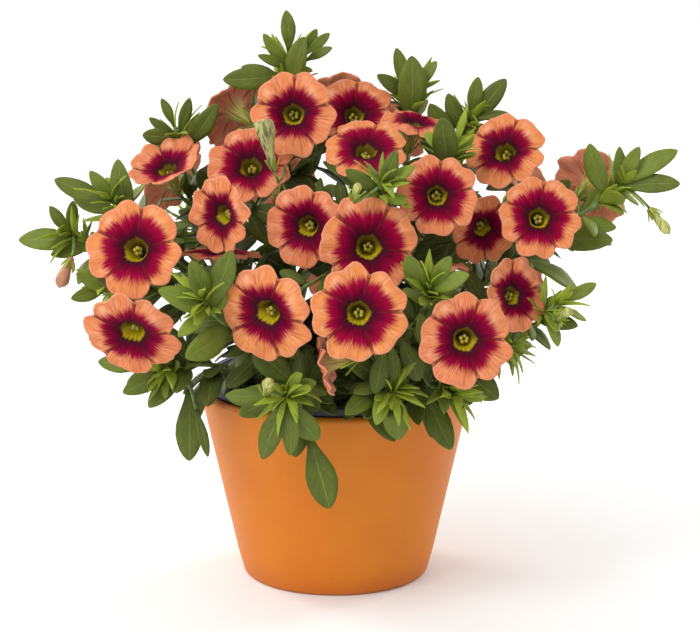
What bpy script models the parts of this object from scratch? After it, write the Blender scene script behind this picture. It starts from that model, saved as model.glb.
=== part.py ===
# A potted calibrachoa: a plain orange cover pot, the grower's pot inside it, its soil,
# leafy shoots that stand in holes in the soil, and trumpet blooms on short stalks.
# Metres, +Z up, the origin at the centre of the cover pot's base, the photographed side facing -Y.
# "out" in the tables is the distance towards that side, and a bearing turns from it towards +X.

import math
import random
from collections import namedtuple

import bmesh
import bpy
from mathutils import Vector
from mathutils.bvhtree import BVHTree

MM = 0.001
GAP = 0.35 * MM

# Cover pot
POT_RIM_RADIUS = 55 * MM
POT_BASE_RADIUS = 37.5 * MM
POT_HEIGHT = 78 * MM
POT_WALL = 4 * MM
POT_FLOOR = 5 * MM
POT_FOOT_ROUNDING = 2.2 * MM
POT_SEGMENTS = 36

# Grower's pot, which hangs in the cover pot by its lip
GROWER_WALL = 1.2 * MM
GROWER_CLEARANCE = 1.0 * MM
GROWER_LIP_HEIGHT = 3.2 * MM
GROWER_LIP_OVERHANG = 2.2 * MM
GROWER_FLOOR_LEVEL = 7 * MM
GROWER_SEGMENTS = 28
DRAIN_HOLES = 4
DRAIN_HOLE_RADIUS = 4 * MM
DRAIN_HOLE_CIRCLE = 20 * MM

# Soil
SOIL_LEVEL = 70 * MM
SOIL_RELIEF = 0.9 * MM
SOIL_SEGMENTS = 24
SOIL_RINGS = 2
STEM_SOCKET_DEPTH = 7 * MM

# Shoots
STEM_BASE_RADIUS = 1.4 * MM
STEM_TIP_RADIUS = 0.8 * MM
STEM_SIDES = 4
STEM_STATIONS = 7
ROOT_INNER_RADIUS = 8 * MM
ROOT_OUTER_RADIUS = 29 * MM
LOWEST_TIP = 88 * MM
HIGHEST_TIP = 210 * MM
STALK_RADIUS = 0.7 * MM
STALK_STATIONS = 4
STALK_SIDES = 3

# Leaves
LEAF_THICKNESS = 0.65 * MM
LEAF_TURN = math.radians(137.5)
LEAF_FIRST_SHARE = 0.34
LEAF_SLENDERNESS = 2.9
SHORTEST_LEAF = 13 * MM
LONGEST_LEAF = 29 * MM
LEAF_TRIES = 14
LEAF_UPTURN = 0.7
PHOTO_PITCH = 14

# Blooms: a throat, a tube behind it and a limb of ten scallops, two to each of the five petals
LOBES = 10
LIMB_THICKNESS = 0.7 * MM
THROAT_SHARE = 0.25
TUBE_BASE_RADIUS = 1.8 * MM
TUBE_LENGTH = 14 * MM
NOTCH_DEPTHS = (0.17, 0.08)

SEED = 11

Bloom = namedtuple("Bloom", "name across out up bearing pitch width recurve")
BLOOMS = (
    Bloom("bloom_top", -16, 36, 194, -4, 18, 34, 1),
    Bloom("bloom_top_behind", 8, 8, 189, 12, 32, 32, 1),
    Bloom("bloom_top_cupped", 12, 46, 183, 2, 56, 33, 2),
    Bloom("bloom_top_right_edge", 31, 20, 189, 45, 74, 26, 3),
    Bloom("bloom_upper_left", -33, 28, 173, -12, 42, 35, 1),
    Bloom("bloom_turned_away_left", -42, -16, 187, -135, 22, 31, 2),
    Bloom("bloom_turned_away_top", 2, -36, 188, 176, 30, 29, 2),
    Bloom("bloom_left_cupped", -66, 20, 171, -38, 60, 31, -2),
    Bloom("bloom_left_dark", -44, 54, 158, -42, 4, 31, 0),
    Bloom("bloom_left_large", -76, 62, 147, -17, 24, 39, 1),
    Bloom("bloom_left_nodding", -77, 71, 115, -14, -27, 39, 2),
    Bloom("bloom_centre_left", -11, 60, 155, -20, 8, 33, 0),
    Bloom("bloom_centre_large", 13, 72, 150, 6, 18, 39, 1),
    Bloom("bloom_front_left", -26, 86, 127, -28, -8, 39, 2),
    Bloom("bloom_front_centre", 9, 96, 130, 0, 12, 37, 1),
    Bloom("bloom_right_upper", 39, 60, 167, 6, 14, 32, 1),
    Bloom("bloom_right_shaded", 58, 34, 148, 22, -8, 29, 0),
    Bloom("bloom_right_large", 78, 52, 157, 6, 22, 33, 1),
    Bloom("bloom_right_top", 65, 30, 179, -20, 40, 33, 2),
    Bloom("bloom_turned_away_right", 103, -4, 158, 148, 12, 34, 2),
    Bloom("bloom_front_right", 49, 89, 118, 9, 8, 37, 1),
    Bloom("bloom_right_dark", 69, 58, 128, 38, 18, 30, 0),
    Bloom("bloom_edge_right", 36, 46, 137, 178, 82, 32, 2),
    Bloom("bloom_edge_front", -5, 80, 106, -96, -12, 24, 3),
    Bloom("bloom_edge_left", -45, 26, 138, 178, 84, 33, 2),
    Bloom("bloom_back_left_high", -38, -62, 172, -150, 40, 34, 1),
    Bloom("bloom_back_left", -68, -54, 152, -128, 22, 36, 1),
    Bloom("bloom_back_left_low", -84, -34, 116, -112, 2, 36, 1),
    Bloom("bloom_back", -26, -88, 142, -165, 14, 37, 1),
    Bloom("bloom_back_high", 24, -72, 168, 164, 34, 36, 1),
    Bloom("bloom_back_right", 42, -90, 130, 156, 6, 36, 1),
    Bloom("bloom_back_right_high", 80, -54, 146, 124, 20, 36, 1),
    Bloom("bloom_back_right_low", 78, -46, 108, 120, -6, 35, 1),
    Bloom("bloom_back_low", 2, -92, 106, 178, -14, 36, 1),
)

# Tip of each shoot, the way it points there, its large leaves, its small tip leaves and their length
Shoot = namedtuple("Shoot", "name across out up bearing pitch leaves tuft tuft_length")
SHOOTS = (
    Shoot("shoot_crown", -18, 2, 210, -10, 84, 3, 0, 17),
    Shoot("shoot_crown_right", 30, -2, 197, 20, 78, 3, 1, 16),
    Shoot("shoot_right_top", 54, 4, 190, 40, 70, 3, 1, 17),
    Shoot("shoot_left_top", -63, 6, 183, -50, 66, 3, 1, 15),
    Shoot("shoot_left_mid", -87, 37, 162, -55, 58, 4, 1, 16),
    Shoot("shoot_left_far", -107, 21, 145, -78, 34, 4, 2, 16),
    Shoot("shoot_left_low", -90, 34, 126, -66, 4, 4, 2, 14),
    Shoot("shoot_front_left", -50, 84, 134, -28, 56, 4, 2, 17),
    Shoot("shoot_centre", 18, 68, 174, 4, 42, 3, 2, 16),
    Shoot("shoot_front_right", 36, 82, 138, 8, 62, 3, 2, 16),
    Shoot("shoot_right_high", 46, 42, 184, 10, 64, 4, 2, 15),
    Shoot("shoot_right_front", 86, 56, 124, 62, 40, 4, 2, 16),
    Shoot("shoot_right_far", 113, 23, 165, 70, 44, 4, 1, 16),
    Shoot("shoot_front_low", -18, 85, 95, -12, -14, 4, 2, 16),
    Shoot("shoot_front_low_right", 22, 78, 94, 12, -16, 4, 2, 15),
    Shoot("shoot_right_low", 46, 64, 90, 40, -14, 4, 2, 14),
    Shoot("shoot_left_bottom", -68, 48, 95, -50, -12, 4, 1, 15),
    Shoot("shoot_right_bottom", 68, 44, 105, 58, -8, 4, 2, 16),
    Shoot("shoot_back_left", -62, -66, 130, -138, 30, 5, 2, 16),
    Shoot("shoot_back", 8, -88, 150, 176, 44, 5, 2, 16),
    Shoot("shoot_back_right", 62, -72, 122, 138, 24, 5, 2, 16),
    Shoot("shoot_back_low", -28, -84, 96, -160, -14, 5, 2, 15),
)

# Leaves whose tips make the outline: the shoot, the place of the tip and the width
KeyLeaf = namedtuple("KeyLeaf", "shoot across out up width")
KEY_LEAVES = (
    KeyLeaf("shoot_crown", -19, 4, 229, 6),
    KeyLeaf("shoot_crown", -28, 6, 220, 5),
    KeyLeaf("shoot_crown", -30, 8, 212, 4),
    KeyLeaf("shoot_crown", -2, 4, 220, 4),
    KeyLeaf("shoot_crown", -1, 8, 215, 4),
    KeyLeaf("shoot_crown", -12, 14, 220, 9),
    KeyLeaf("shoot_crown", -7, 0, 221, 5),
    KeyLeaf("shoot_crown", -44, 6, 202, 9),
    KeyLeaf("shoot_crown", -37, 0, 206, 7),
    KeyLeaf("shoot_crown_right", 30, 4, 211, 12),
    KeyLeaf("shoot_crown_right", 24, -4, 213, 6),
    KeyLeaf("shoot_crown_right", 40, -2, 208, 5),
    KeyLeaf("shoot_crown_right", 16, 6, 204, 6),
    KeyLeaf("shoot_right_top", 67, 4, 202, 8),
    KeyLeaf("shoot_right_top", 56, 6, 203, 6),
    KeyLeaf("shoot_right_top", 44, 6, 197, 7),
    KeyLeaf("shoot_right_top", 68, 8, 189, 4),
    KeyLeaf("shoot_right_top", 37, 10, 193, 9),
    KeyLeaf("shoot_left_top", -68, 8, 195, 4),
    KeyLeaf("shoot_left_top", -73, 6, 187, 4),
    KeyLeaf("shoot_left_top", -57, 6, 195, 5),
    KeyLeaf("shoot_left_top", -46, 10, 193, 8),
    KeyLeaf("shoot_left_top", -81, 10, 177, 7),
    KeyLeaf("shoot_left_mid", -83, 40, 177, 9),
    KeyLeaf("shoot_left_mid", -94, 38, 172, 6),
    KeyLeaf("shoot_left_mid", -108, 34, 168, 8),
    KeyLeaf("shoot_left_mid", -101, 30, 160, 7),
    KeyLeaf("shoot_left_far", -124, 20, 141, 9),
    KeyLeaf("shoot_left_far", -111, 22, 155, 5),
    KeyLeaf("shoot_left_far", -102, 22, 157, 5),
    KeyLeaf("shoot_left_far", -111, 26, 136, 6),
    KeyLeaf("shoot_left_low", -102, 40, 122, 6),
    KeyLeaf("shoot_left_low", -100, 40, 132, 9),
    KeyLeaf("shoot_left_bottom", -81, 44, 89, 10),
    KeyLeaf("shoot_left_bottom", -72, 50, 81, 8),
    KeyLeaf("shoot_left_bottom", -82, 50, 87, 8),
    KeyLeaf("shoot_left_bottom", -57, 44, 58, 11),
    KeyLeaf("shoot_left_bottom", -92, 40, 97, 7),
    KeyLeaf("shoot_front_left", -65, 88, 137, 9),
    KeyLeaf("shoot_front_left", -38, 84, 151, 9),
    KeyLeaf("shoot_front_left", -39, 92, 119, 10),
    KeyLeaf("shoot_front_left", -56, 88, 111, 11),
    KeyLeaf("shoot_front_left", -53, 88, 148, 8),
    KeyLeaf("shoot_front_right", 27, 88, 150, 8),
    KeyLeaf("shoot_front_right", 43, 88, 150, 6),
    KeyLeaf("shoot_front_right", 50, 88, 143, 7),
    KeyLeaf("shoot_front_low", -2, 78, 49, 12),
    KeyLeaf("shoot_front_low", -27, 86, 71, 9),
    KeyLeaf("shoot_front_low", -17, 84, 72, 7),
    KeyLeaf("shoot_front_low", -41, 86, 96, 6),
    KeyLeaf("shoot_front_low_right", 23, 66, 72, 12),
    KeyLeaf("shoot_right_low", 45, 60, 67, 10),
    KeyLeaf("shoot_right_bottom", 64, 40, 82, 13),
    KeyLeaf("shoot_right_bottom", 76, 36, 103, 12),
    KeyLeaf("shoot_right_front", 100, 52, 131, 5),
    KeyLeaf("shoot_right_front", 93, 54, 115, 7),
    KeyLeaf("shoot_right_front", 80, 62, 142, 8),
    KeyLeaf("shoot_right_far", 133, 22, 177, 8),
    KeyLeaf("shoot_right_far", 134, 26, 164, 8),
    KeyLeaf("shoot_right_far", 118, 24, 179, 6),
    KeyLeaf("shoot_right_far", 98, 30, 181, 9),
    KeyLeaf("shoot_right_far", 110, 24, 179, 5),
    KeyLeaf("shoot_right_far", 108, 30, 143, 10),
    KeyLeaf("shoot_right_far", 110, 20, 146, 7),
    KeyLeaf("shoot_right_high", 40, 52, 196, 10),
    KeyLeaf("shoot_centre", 4, 70, 179, 6),
    KeyLeaf("shoot_centre", 23, 68, 186, 6),
)


def facing(bearing, pitch):
    """Unit vector that points at a bearing and a pitch, in degrees."""
    b, p = math.radians(bearing), math.radians(pitch)
    return Vector((math.sin(b) * math.cos(p), -math.cos(b) * math.cos(p), math.sin(p)))


def place(row):
    return Vector((row.across * MM, -row.out * MM, row.up * MM))


def across_pair(axis):
    """Two unit vectors square to an axis and to each other."""
    guide = Vector((0, 0, 1)) if abs(axis.z) < 0.9 else Vector((1, 0, 0))
    side = axis.cross(guide).normalized()
    return side, side.cross(axis).normalized()


def material(name, colour, roughness):
    made = bpy.data.materials.new(name)
    made.use_nodes = True
    shader = made.node_tree.nodes["Principled BSDF"]
    shader.inputs["Base Color"].default_value = (*colour, 1)
    shader.inputs["Roughness"].default_value = roughness
    shader.inputs["Metallic"].default_value = 0
    return made


def object_from(name, points, faces, finish):
    mesh = bpy.data.meshes.new(name)
    mesh.from_pydata([tuple(p) for p in points], [], faces)
    mesh.materials.append(finish)
    made = bpy.data.objects.new(name, mesh)
    bpy.context.scene.collection.objects.link(made)
    return made


def boolean(target, operation, cutter=None, collection=None, solver="EXACT"):
    """Applies a Boolean to target with one object, or with a whole collection."""
    modifier = target.modifiers.new("cut", "BOOLEAN")
    modifier.operation = operation
    modifier.solver = solver
    if collection:
        modifier.operand_type = "COLLECTION"
        modifier.collection = collection
    else:
        modifier.object = cutter
    graph = bpy.context.evaluated_depsgraph_get()
    mesh = bpy.data.meshes.new_from_object(target.evaluated_get(graph))
    target.modifiers.remove(modifier)
    target.data = mesh


def turned(name, profile, segments, finish):
    """Solid of revolution of a profile that starts and ends on the axis."""
    bm = bmesh.new()
    line = [bm.verts.new((r, 0, z)) for r, z in profile]
    edges = [bm.edges.new(pair) for pair in zip(line, line[1:])]
    bmesh.ops.spin(
        bm, geom=line + edges, cent=(0, 0, 0), axis=(0, 0, 1), dvec=(0, 0, 0),
        angle=2 * math.pi, steps=segments, use_merge=True,
    )
    bmesh.ops.remove_doubles(bm, verts=bm.verts, dist=1e-6)
    bmesh.ops.recalc_face_normals(bm, faces=bm.faces)
    mesh = bpy.data.meshes.new(name)
    bm.to_mesh(mesh)
    bm.free()
    mesh.materials.append(finish)
    mesh.shade_smooth()
    mesh.set_sharp_from_angle(angle=math.radians(35))
    made = bpy.data.objects.new(name, mesh)
    bpy.context.scene.collection.objects.link(made)
    return made


def arc(centre, radius, start, end, steps):
    """Points of an arc in the profile plane, with its angles in degrees."""
    turn = [math.radians(start + (end - start) * i / steps) for i in range(steps + 1)]
    return [(centre[0] + radius * math.cos(a), centre[1] + radius * math.sin(a)) for a in turn]


def drill(name, radius, depth, middle, sides):
    """Upright cutter for a round hole."""
    bm = bmesh.new()
    bmesh.ops.create_cone(
        bm, cap_ends=True, segments=sides, radius1=radius, radius2=radius, depth=depth,
    )
    bmesh.ops.translate(bm, verts=bm.verts, vec=middle)
    mesh = bpy.data.meshes.new(name)
    bm.to_mesh(mesh)
    bm.free()
    made = bpy.data.objects.new(name, mesh)
    made.hide_render = True
    made.display_type = "WIRE"
    return made


def pot_inner_radius(z):
    """Radius of the cover pot's inner wall at a height."""
    outer = POT_BASE_RADIUS + (POT_RIM_RADIUS - POT_BASE_RADIUS) * z / POT_HEIGHT
    return outer - POT_WALL


def grower_inner_radius(z):
    return pot_inner_radius(z) - GROWER_CLEARANCE - GROWER_WALL


def make_pot(finish):
    foot = POT_FOOT_ROUNDING
    lip = POT_WALL / 2
    profile = [(0, 0)]
    profile += arc((POT_BASE_RADIUS - foot, foot), foot, -90, -12, 2)
    profile += arc((POT_RIM_RADIUS - lip, POT_HEIGHT - lip), lip, -12, 168, 4)
    profile += [(pot_inner_radius(POT_FLOOR), POT_FLOOR), (0, POT_FLOOR)]
    return turned("pot", profile, POT_SEGMENTS, finish)


def make_grower_pot(finish):
    lip_base = POT_HEIGHT + GAP
    lip_top = lip_base + GROWER_LIP_HEIGHT
    top = pot_inner_radius(POT_HEIGHT) - GROWER_CLEARANCE
    base = pot_inner_radius(GROWER_FLOOR_LEVEL) - GROWER_CLEARANCE
    lip = top + GROWER_LIP_OVERHANG
    floor = GROWER_FLOOR_LEVEL + GROWER_WALL
    profile = [
        (0, GROWER_FLOOR_LEVEL),
        (base, GROWER_FLOOR_LEVEL),
        (top, lip_base),
        (lip, lip_base),
        (lip, lip_top - GROWER_WALL),
        (lip - GROWER_WALL, lip_top),
        (grower_inner_radius(POT_HEIGHT), lip_top),
        (grower_inner_radius(POT_HEIGHT), POT_HEIGHT),
        (grower_inner_radius(floor), floor),
        (0, floor),
    ]
    made = turned("grower_pot", profile, GROWER_SEGMENTS, finish)
    for i in range(DRAIN_HOLES):
        angle = 2 * math.pi * (i + 0.5) / DRAIN_HOLES
        x, y = DRAIN_HOLE_CIRCLE * math.cos(angle), DRAIN_HOLE_CIRCLE * math.sin(angle)
        cutter = drill("drain", DRAIN_HOLE_RADIUS, 6 * GROWER_WALL, (x, y, floor), 8)
        bpy.context.scene.collection.objects.link(cutter)
        boolean(made, "DIFFERENCE", cutter)
        bpy.data.objects.remove(cutter)
    return made


def soil_height(x, y):
    """Crumbly top of the soil as a formula."""
    wave = math.sin(x * 310 + 1.3) * math.cos(y * 270 - 0.4) + 0.6 * math.sin((x - y) * 520)
    return SOIL_LEVEL + SOIL_RELIEF * wave


def make_soil(finish, stems):
    """Root ball that fills the grower's pot, with a socket round the foot of each stem."""
    floor = GROWER_FLOOR_LEVEL + GROWER_WALL + GAP
    low = grower_inner_radius(floor) - GAP
    high = grower_inner_radius(SOIL_LEVEL) - 2 * GAP
    rings = [(low, None)] + [(high * k / SOIL_RINGS, True) for k in range(SOIL_RINGS, 0, -1)]
    points = []
    for radius, on_top in rings:
        for i in range(SOIL_SEGMENTS):
            a = 2 * math.pi * i / SOIL_SEGMENTS
            x, y = radius * math.cos(a), radius * math.sin(a)
            points.append((x, y, soil_height(x, y) if on_top else floor))
    faces = [tuple(reversed(range(SOIL_SEGMENTS)))]
    for ring in range(len(rings) - 1):
        for i in range(SOIL_SEGMENTS):
            j = (i + 1) % SOIL_SEGMENTS
            a, b = ring * SOIL_SEGMENTS, (ring + 1) * SOIL_SEGMENTS
            faces += [(a + i, a + j, b + j), (a + i, b + j, b + i)]
    points.append((0, 0, soil_height(0, 0)))
    last = (len(rings) - 1) * SOIL_SEGMENTS
    for i in range(SOIL_SEGMENTS):
        faces.append((last + i, last + (i + 1) % SOIL_SEGMENTS, len(points) - 1))
    made = object_from("soil", points, faces, finish)
    sockets = bpy.data.collections.new("sockets")
    bpy.context.scene.collection.children.link(sockets)
    for foot in stems:
        depth = 3 * STEM_SOCKET_DEPTH
        middle = (foot.x, foot.y, SOIL_LEVEL - STEM_SOCKET_DEPTH - GAP + depth / 2)
        sockets.objects.link(drill("socket", STEM_BASE_RADIUS + 2 * GAP, depth, middle, 5))
    boolean(made, "DIFFERENCE", collection=sockets)
    discard(sockets)
    return made


def discard(collection):
    for piece in list(collection.objects):
        bpy.data.objects.remove(piece)
    bpy.data.collections.remove(collection)


# Room: what is already in place, so that nothing placed later crosses it


class Room:
    def __init__(self):
        self.placed = []

    def add(self, owner, points, faces):
        self.placed.append((owner, BVHTree.FromPolygons(points, faces), *limits(points)))

    def blocked(self, points, faces, allowed=()):
        """True if the mesh crosses anything in place, apart from the owners allowed."""
        low, high = limits(points)
        tree = None
        for owner, other, other_low, other_high in self.placed:
            if owner in allowed:
                continue
            if any(low[i] > other_high[i] or high[i] < other_low[i] for i in range(3)):
                continue
            tree = tree or BVHTree.FromPolygons(points, faces)
            if tree.overlap(other):
                return True
        return False


def limits(points):
    low = tuple(min(p[i] for p in points) for i in range(3))
    high = tuple(max(p[i] for p in points) for i in range(3))
    return low, high


# Blooms


def ring_points(centre, side, rise, axis, radii, heights):
    count = len(radii)
    found = []
    for i in range(count):
        a = 2 * math.pi * i / count
        radial = side * math.cos(a) + rise * math.sin(a)
        found.append(centre + radial * radii[i] + axis * heights[i])
    return found


def fan(ring, point):
    return [(ring[i], ring[(i + 1) % len(ring)], point) for i in range(len(ring))]


def band(inner, outer):
    """Triangles between two rings, or between a ring and one of twice as many points."""
    found = []
    count = len(inner)
    if len(outer) == count:
        for i in range(count):
            j = (i + 1) % count
            found += [(inner[i], outer[i], outer[j]), (inner[i], outer[j], inner[j])]
        return found
    for i in range(count):
        a, b = inner[i], inner[(i + 1) % count]
        p, q, r = (outer[(2 * i + k) % len(outer)] for k in range(3))
        found += [(a, p, q), (a, q, b), (b, q, r)]
    return found


def bloom_mesh(bloom, extra=0.0):
    """Thin-walled trumpet: limb, throat and tube. Its front looks along the bloom's facing."""
    draw = random.Random(f"{SEED} {bloom.name}")
    axis = facing(bloom.bearing, bloom.pitch)
    side, rise = across_pair(axis)
    radius = bloom.width * MM / 2
    throat = radius * THROAT_SHARE
    roll = draw.uniform(0, 2 * math.pi / LOBES)
    side, rise = (
        side * math.cos(roll) + rise * math.sin(roll),
        rise * math.cos(roll) - side * math.sin(roll),
    )
    edge_radii, edge_heights = [], []
    for i in range(2 * LOBES):
        if i % 2:
            edge_radii.append(radius * (1 - NOTCH_DEPTHS[i // 2 % 2] * draw.uniform(0.7, 1.3)))
            edge_heights.append(-bloom.recurve * MM * 0.5 + draw.uniform(-0.3, 0.3) * MM)
        else:
            edge_radii.append(radius * (1 + draw.uniform(-0.05, 0.03)))
            edge_heights.append(-bloom.recurve * MM + draw.uniform(-1.2, 0.9) * MM)
    wall = LIMB_THICKNESS + extra
    centre = place(bloom)
    middle = [radius * 0.58 * draw.uniform(0.97, 1.03) for _ in range(LOBES)]
    half = LOBES // 2
    rows = (
        ([throat * 0.42] * half, [-TUBE_LENGTH * 0.82] * half),
        ([throat] * LOBES, [-3.4 * MM] * LOBES),
        (middle, [-0.9 * MM] * LOBES),
        (edge_radii, edge_heights),
        (edge_radii, [h - wall for h in edge_heights]),
        ([throat + wall] * LOBES, [-3.9 * MM - wall * 0.4] * LOBES),
        ([TUBE_BASE_RADIUS + extra] * half, [-TUBE_LENGTH - extra] * half),
    )
    points, rings = [], []
    for radii, heights in rows:
        start = len(points)
        points += ring_points(centre, side, rise, axis, radii, heights)
        rings.append(list(range(start, len(points))))
    faces = [tuple(rings[0])]
    faces += band(rings[0], rings[1]) + band(rings[1], rings[2]) + band(rings[2], rings[3])
    faces += band(rings[3], rings[4])
    back = band(rings[5], rings[4]) + band(rings[6], rings[5])
    faces += [tuple(reversed(f)) for f in back]
    faces.append(tuple(reversed(rings[6])))
    return points, [tuple(reversed(f)) for f in faces] if flipped(points, faces) else faces


def flipped(points, faces):
    """True if the closed mesh's faces point inwards."""
    total = 0.0
    for face in faces:
        a = points[face[0]]
        for i in range(1, len(face) - 1):
            total += a.dot(points[face[i]].cross(points[face[i + 1]]))
    return total < 0


def tube_foot(bloom):
    """Where the bloom's stalk meets its tube, and the way the stalk leaves it."""
    axis = facing(bloom.bearing, bloom.pitch)
    return place(bloom) - axis * (TUBE_LENGTH + GAP), -axis


# Stems and stalks


def hermite(start, start_pull, end, end_pull, count):
    found = []
    for i in range(count):
        t = i / (count - 1)
        a = 2 * t**3 - 3 * t**2 + 1
        b = t**3 - 2 * t**2 + t
        c = -2 * t**3 + 3 * t**2
        d = t**3 - t**2
        found.append(start * a + start_pull * b + end * c + end_pull * d)
    return found


def tube_mesh(route, radii, sides):
    """Closed tube along a route, with its section carried along without twist."""
    points, faces = [], []
    side = None
    for i, centre in enumerate(route):
        ahead = route[min(i + 1, len(route) - 1)] - route[max(i - 1, 0)]
        ahead.normalize()
        if side is None:
            side = across_pair(ahead)[0]
        side = (side - ahead * side.dot(ahead)).normalized()
        rise = ahead.cross(side)
        for k in range(sides):
            a = 2 * math.pi * k / sides
            points.append(centre + (side * math.cos(a) + rise * math.sin(a)) * radii[i])
    for i in range(len(route) - 1):
        for k in range(sides):
            j = (k + 1) % sides
            a, b = i * sides, (i + 1) * sides
            faces.append((a + k, a + j, b + j, b + k))
    faces.append(tuple(reversed(range(sides))))
    last = (len(route) - 1) * sides
    faces.append(tuple(last + k for k in range(sides)))
    return points, faces


def taper(start, end, count):
    return [start + (end - start) * i / (count - 1) for i in range(count)]


def stem_route(shoot, draw, attempt):
    """Fountain curve from a foot in the soil to the shoot's tip; later attempts wander more."""
    tip = place(shoot)
    wander = 0.05 + 0.04 * attempt
    bearing = math.atan2(tip.x, -tip.y) + draw.uniform(-wander, wander)
    height = min(1, max(0, (tip.z - LOWEST_TIP) / (HIGHEST_TIP - LOWEST_TIP)))
    radius = ROOT_OUTER_RADIUS + (ROOT_INNER_RADIUS - ROOT_OUTER_RADIUS) * height
    radius *= 1 + draw.uniform(-wander, wander) * 0.5
    foot = Vector((
        math.sin(bearing) * radius,
        -math.cos(bearing) * radius,
        SOIL_LEVEL - STEM_SOCKET_DEPTH + GAP,
    ))
    reach = (tip - foot).length
    lean = facing(math.degrees(bearing), 68 + draw.uniform(-8, 8))
    pull = reach * (1.0 + draw.uniform(-0.25, 0.35))
    entry = facing(shoot.bearing, shoot.pitch) * reach * (0.7 + draw.uniform(-0.2, 0.2))
    top = foot + Vector((0, 0, STEM_SOCKET_DEPTH + 2 * MM))
    curve = hermite(top, lean * pull, tip, entry, STEM_STATIONS)
    return [foot] + curve


def along(route, share):
    """Point and direction at a share of a route's length."""
    lengths = [(b - a).length for a, b in zip(route, route[1:])]
    left = share * sum(lengths)
    for (a, b), length in zip(zip(route, route[1:]), lengths):
        if left <= length or b is route[-1]:
            return a.lerp(b, min(1, left / length)), (b - a).normalized()
        left -= length
    return route[-1], (route[-1] - route[-2]).normalized()


def grow_stem(shoot, room):
    radii = taper(STEM_BASE_RADIUS, STEM_TIP_RADIUS, STEM_STATIONS + 1)
    draw = random.Random(f"{SEED} stem {shoot.name}")
    for attempt in range(60):
        route = stem_route(shoot, draw, attempt % 12)
        fat = tube_mesh(route, [r + GAP for r in radii], STEM_SIDES)
        if not room.blocked(*fat, allowed=("soil",)):
            break
    else:
        print("no clear route for", shoot.name)
    points, faces = tube_mesh(route, radii, STEM_SIDES)
    room.add(shoot.name, points, faces)
    return route, (points, faces)


def grow_stalk(bloom, routes, room):
    """Stalk from the nearest stem that can be reached without crossing anything."""
    foot, away = tube_foot(bloom)
    choices = []
    for name, route in routes.items():
        for step in range(30, 98, 3):
            point, ahead = along(route, step / 100)
            choices.append(((point - foot).length, name, point, ahead))
    choices.sort(key=lambda c: (c[0], c[1]))
    radii = taper(STALK_RADIUS * 1.5, STALK_RADIUS, STALK_STATIONS)
    for distance, name, point, ahead in choices:
        for pull in (0.9, 0.5, 1.4):
            route = hermite(foot, away * distance * pull, point, -ahead * distance * 0.4, STALK_STATIONS)
            fat = tube_mesh(route, [r + GAP for r in radii], STALK_SIDES)
            if not room.blocked(*fat, allowed=(name, bloom.name)):
                own = [p for p in room.placed if p[0] == bloom.name]
                if BVHTree.FromPolygons(*tube_mesh(route, radii, STALK_SIDES)).overlap(own[0][1]):
                    continue
                points, faces = tube_mesh(route, radii, STALK_SIDES)
                room.add(name, points, faces)
                return name, (points, faces)
    print("no stalk for", bloom.name)
    return None, None


# Leaves


def blade_axes(base, tip):
    """Directions along a blade, across it and square to its upper face."""
    ahead = (tip - base).normalized()
    side, face = across_pair(ahead)
    if face.z < 0:
        side, face = -side, -face
    return ahead, side, face


def roll_to(base, tip, way):
    """Roll that turns a blade's upper face as far as it goes to a direction."""
    ahead, side, face = blade_axes(base, tip)
    return math.atan2(-side.dot(way), face.dot(way))


def leaf_mesh(base, tip, width, arch, roll, large, extra=0.0):
    """Flat blade arched between base and tip."""
    span = tip - base
    length = span.length
    ahead, side, face = blade_axes(base, tip)
    side, face = (
        side * math.cos(roll) + face * math.sin(roll),
        face * math.cos(roll) - side * math.sin(roll),
    )
    stations = ((0.0, 0.18), (0.36, 0.82), (0.72, 0.96)) if large else ((0.0, 0.2), (0.55, 1.0))
    half = (LEAF_THICKNESS + extra) / 2
    upper, lower = [], []
    for share, spread in stations:
        lift = arch * 4 * share * (1 - share) * length
        centre = base + span * share + face * lift
        reach = side * (width * spread + extra) / 2
        for row, offset in ((upper, face * half), (lower, -face * half)):
            row.append((centre - reach + offset, centre + reach + offset))
    end = tip + ahead * extra
    points, index = [], {}
    for layer, rows in enumerate((upper, lower)):
        for i, row in enumerate(rows):
            index[layer, i] = list(range(len(points), len(points) + len(row)))
            points += row
        index[layer, "tip"] = len(points)
        points.append(end + face * (half if layer == 0 else -half))
    faces = []
    count = len(stations)
    for layer in (0, 1):
        sheet = []
        for i in range(count - 1):
            (a, b), (c, d) = index[layer, i], index[layer, i + 1]
            sheet.append((a, b, d, c))
        sheet.append((*index[layer, count - 1], index[layer, "tip"]))
        faces += sheet if layer == 0 else [tuple(reversed(f)) for f in sheet]
    for pick in (0, -1):
        chain = [(index[0, i][pick], index[1, i][pick]) for i in range(count)]
        chain.append((index[0, "tip"], index[1, "tip"]))
        for (a, b), (c, d) in zip(chain, chain[1:]):
            faces.append((a, c, d, b) if pick == 0 else (a, b, d, c))
    (a, b), (c, d) = index[0, 0], index[1, 0]
    faces.append((a, c, d, b))
    return points, [tuple(reversed(f)) for f in faces] if flipped(points, faces) else faces


def add_leaf(shoot, base, tip, width, arch, roll, large, room, leaves):
    """Places a leaf if it is clear of everything but its own stem, and says whether it did."""
    ahead = (tip - base).normalized()
    fat = leaf_mesh(base, tip, width, arch, roll, large, extra=2 * GAP)
    own = (shoot.name, shoot.name + " leaves", shoot.name + " whole leaf")
    if room.blocked(*fat, allowed=own):
        return False
    outer = leaf_mesh(base.lerp(tip, 0.45), tip, width, arch, roll, False)
    if room.blocked(*outer, allowed=(shoot.name + " whole leaf",)):
        return False
    points, faces = leaf_mesh(base - ahead * 0.4 * MM, tip, width, arch, roll, large)
    outer = leaf_mesh(base.lerp(tip, 0.4), tip, width, arch, roll, False)
    room.add(shoot.name + " leaves", *outer)
    room.add(shoot.name + " whole leaf", points, faces)
    leaves.append((points, faces))
    return True


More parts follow.
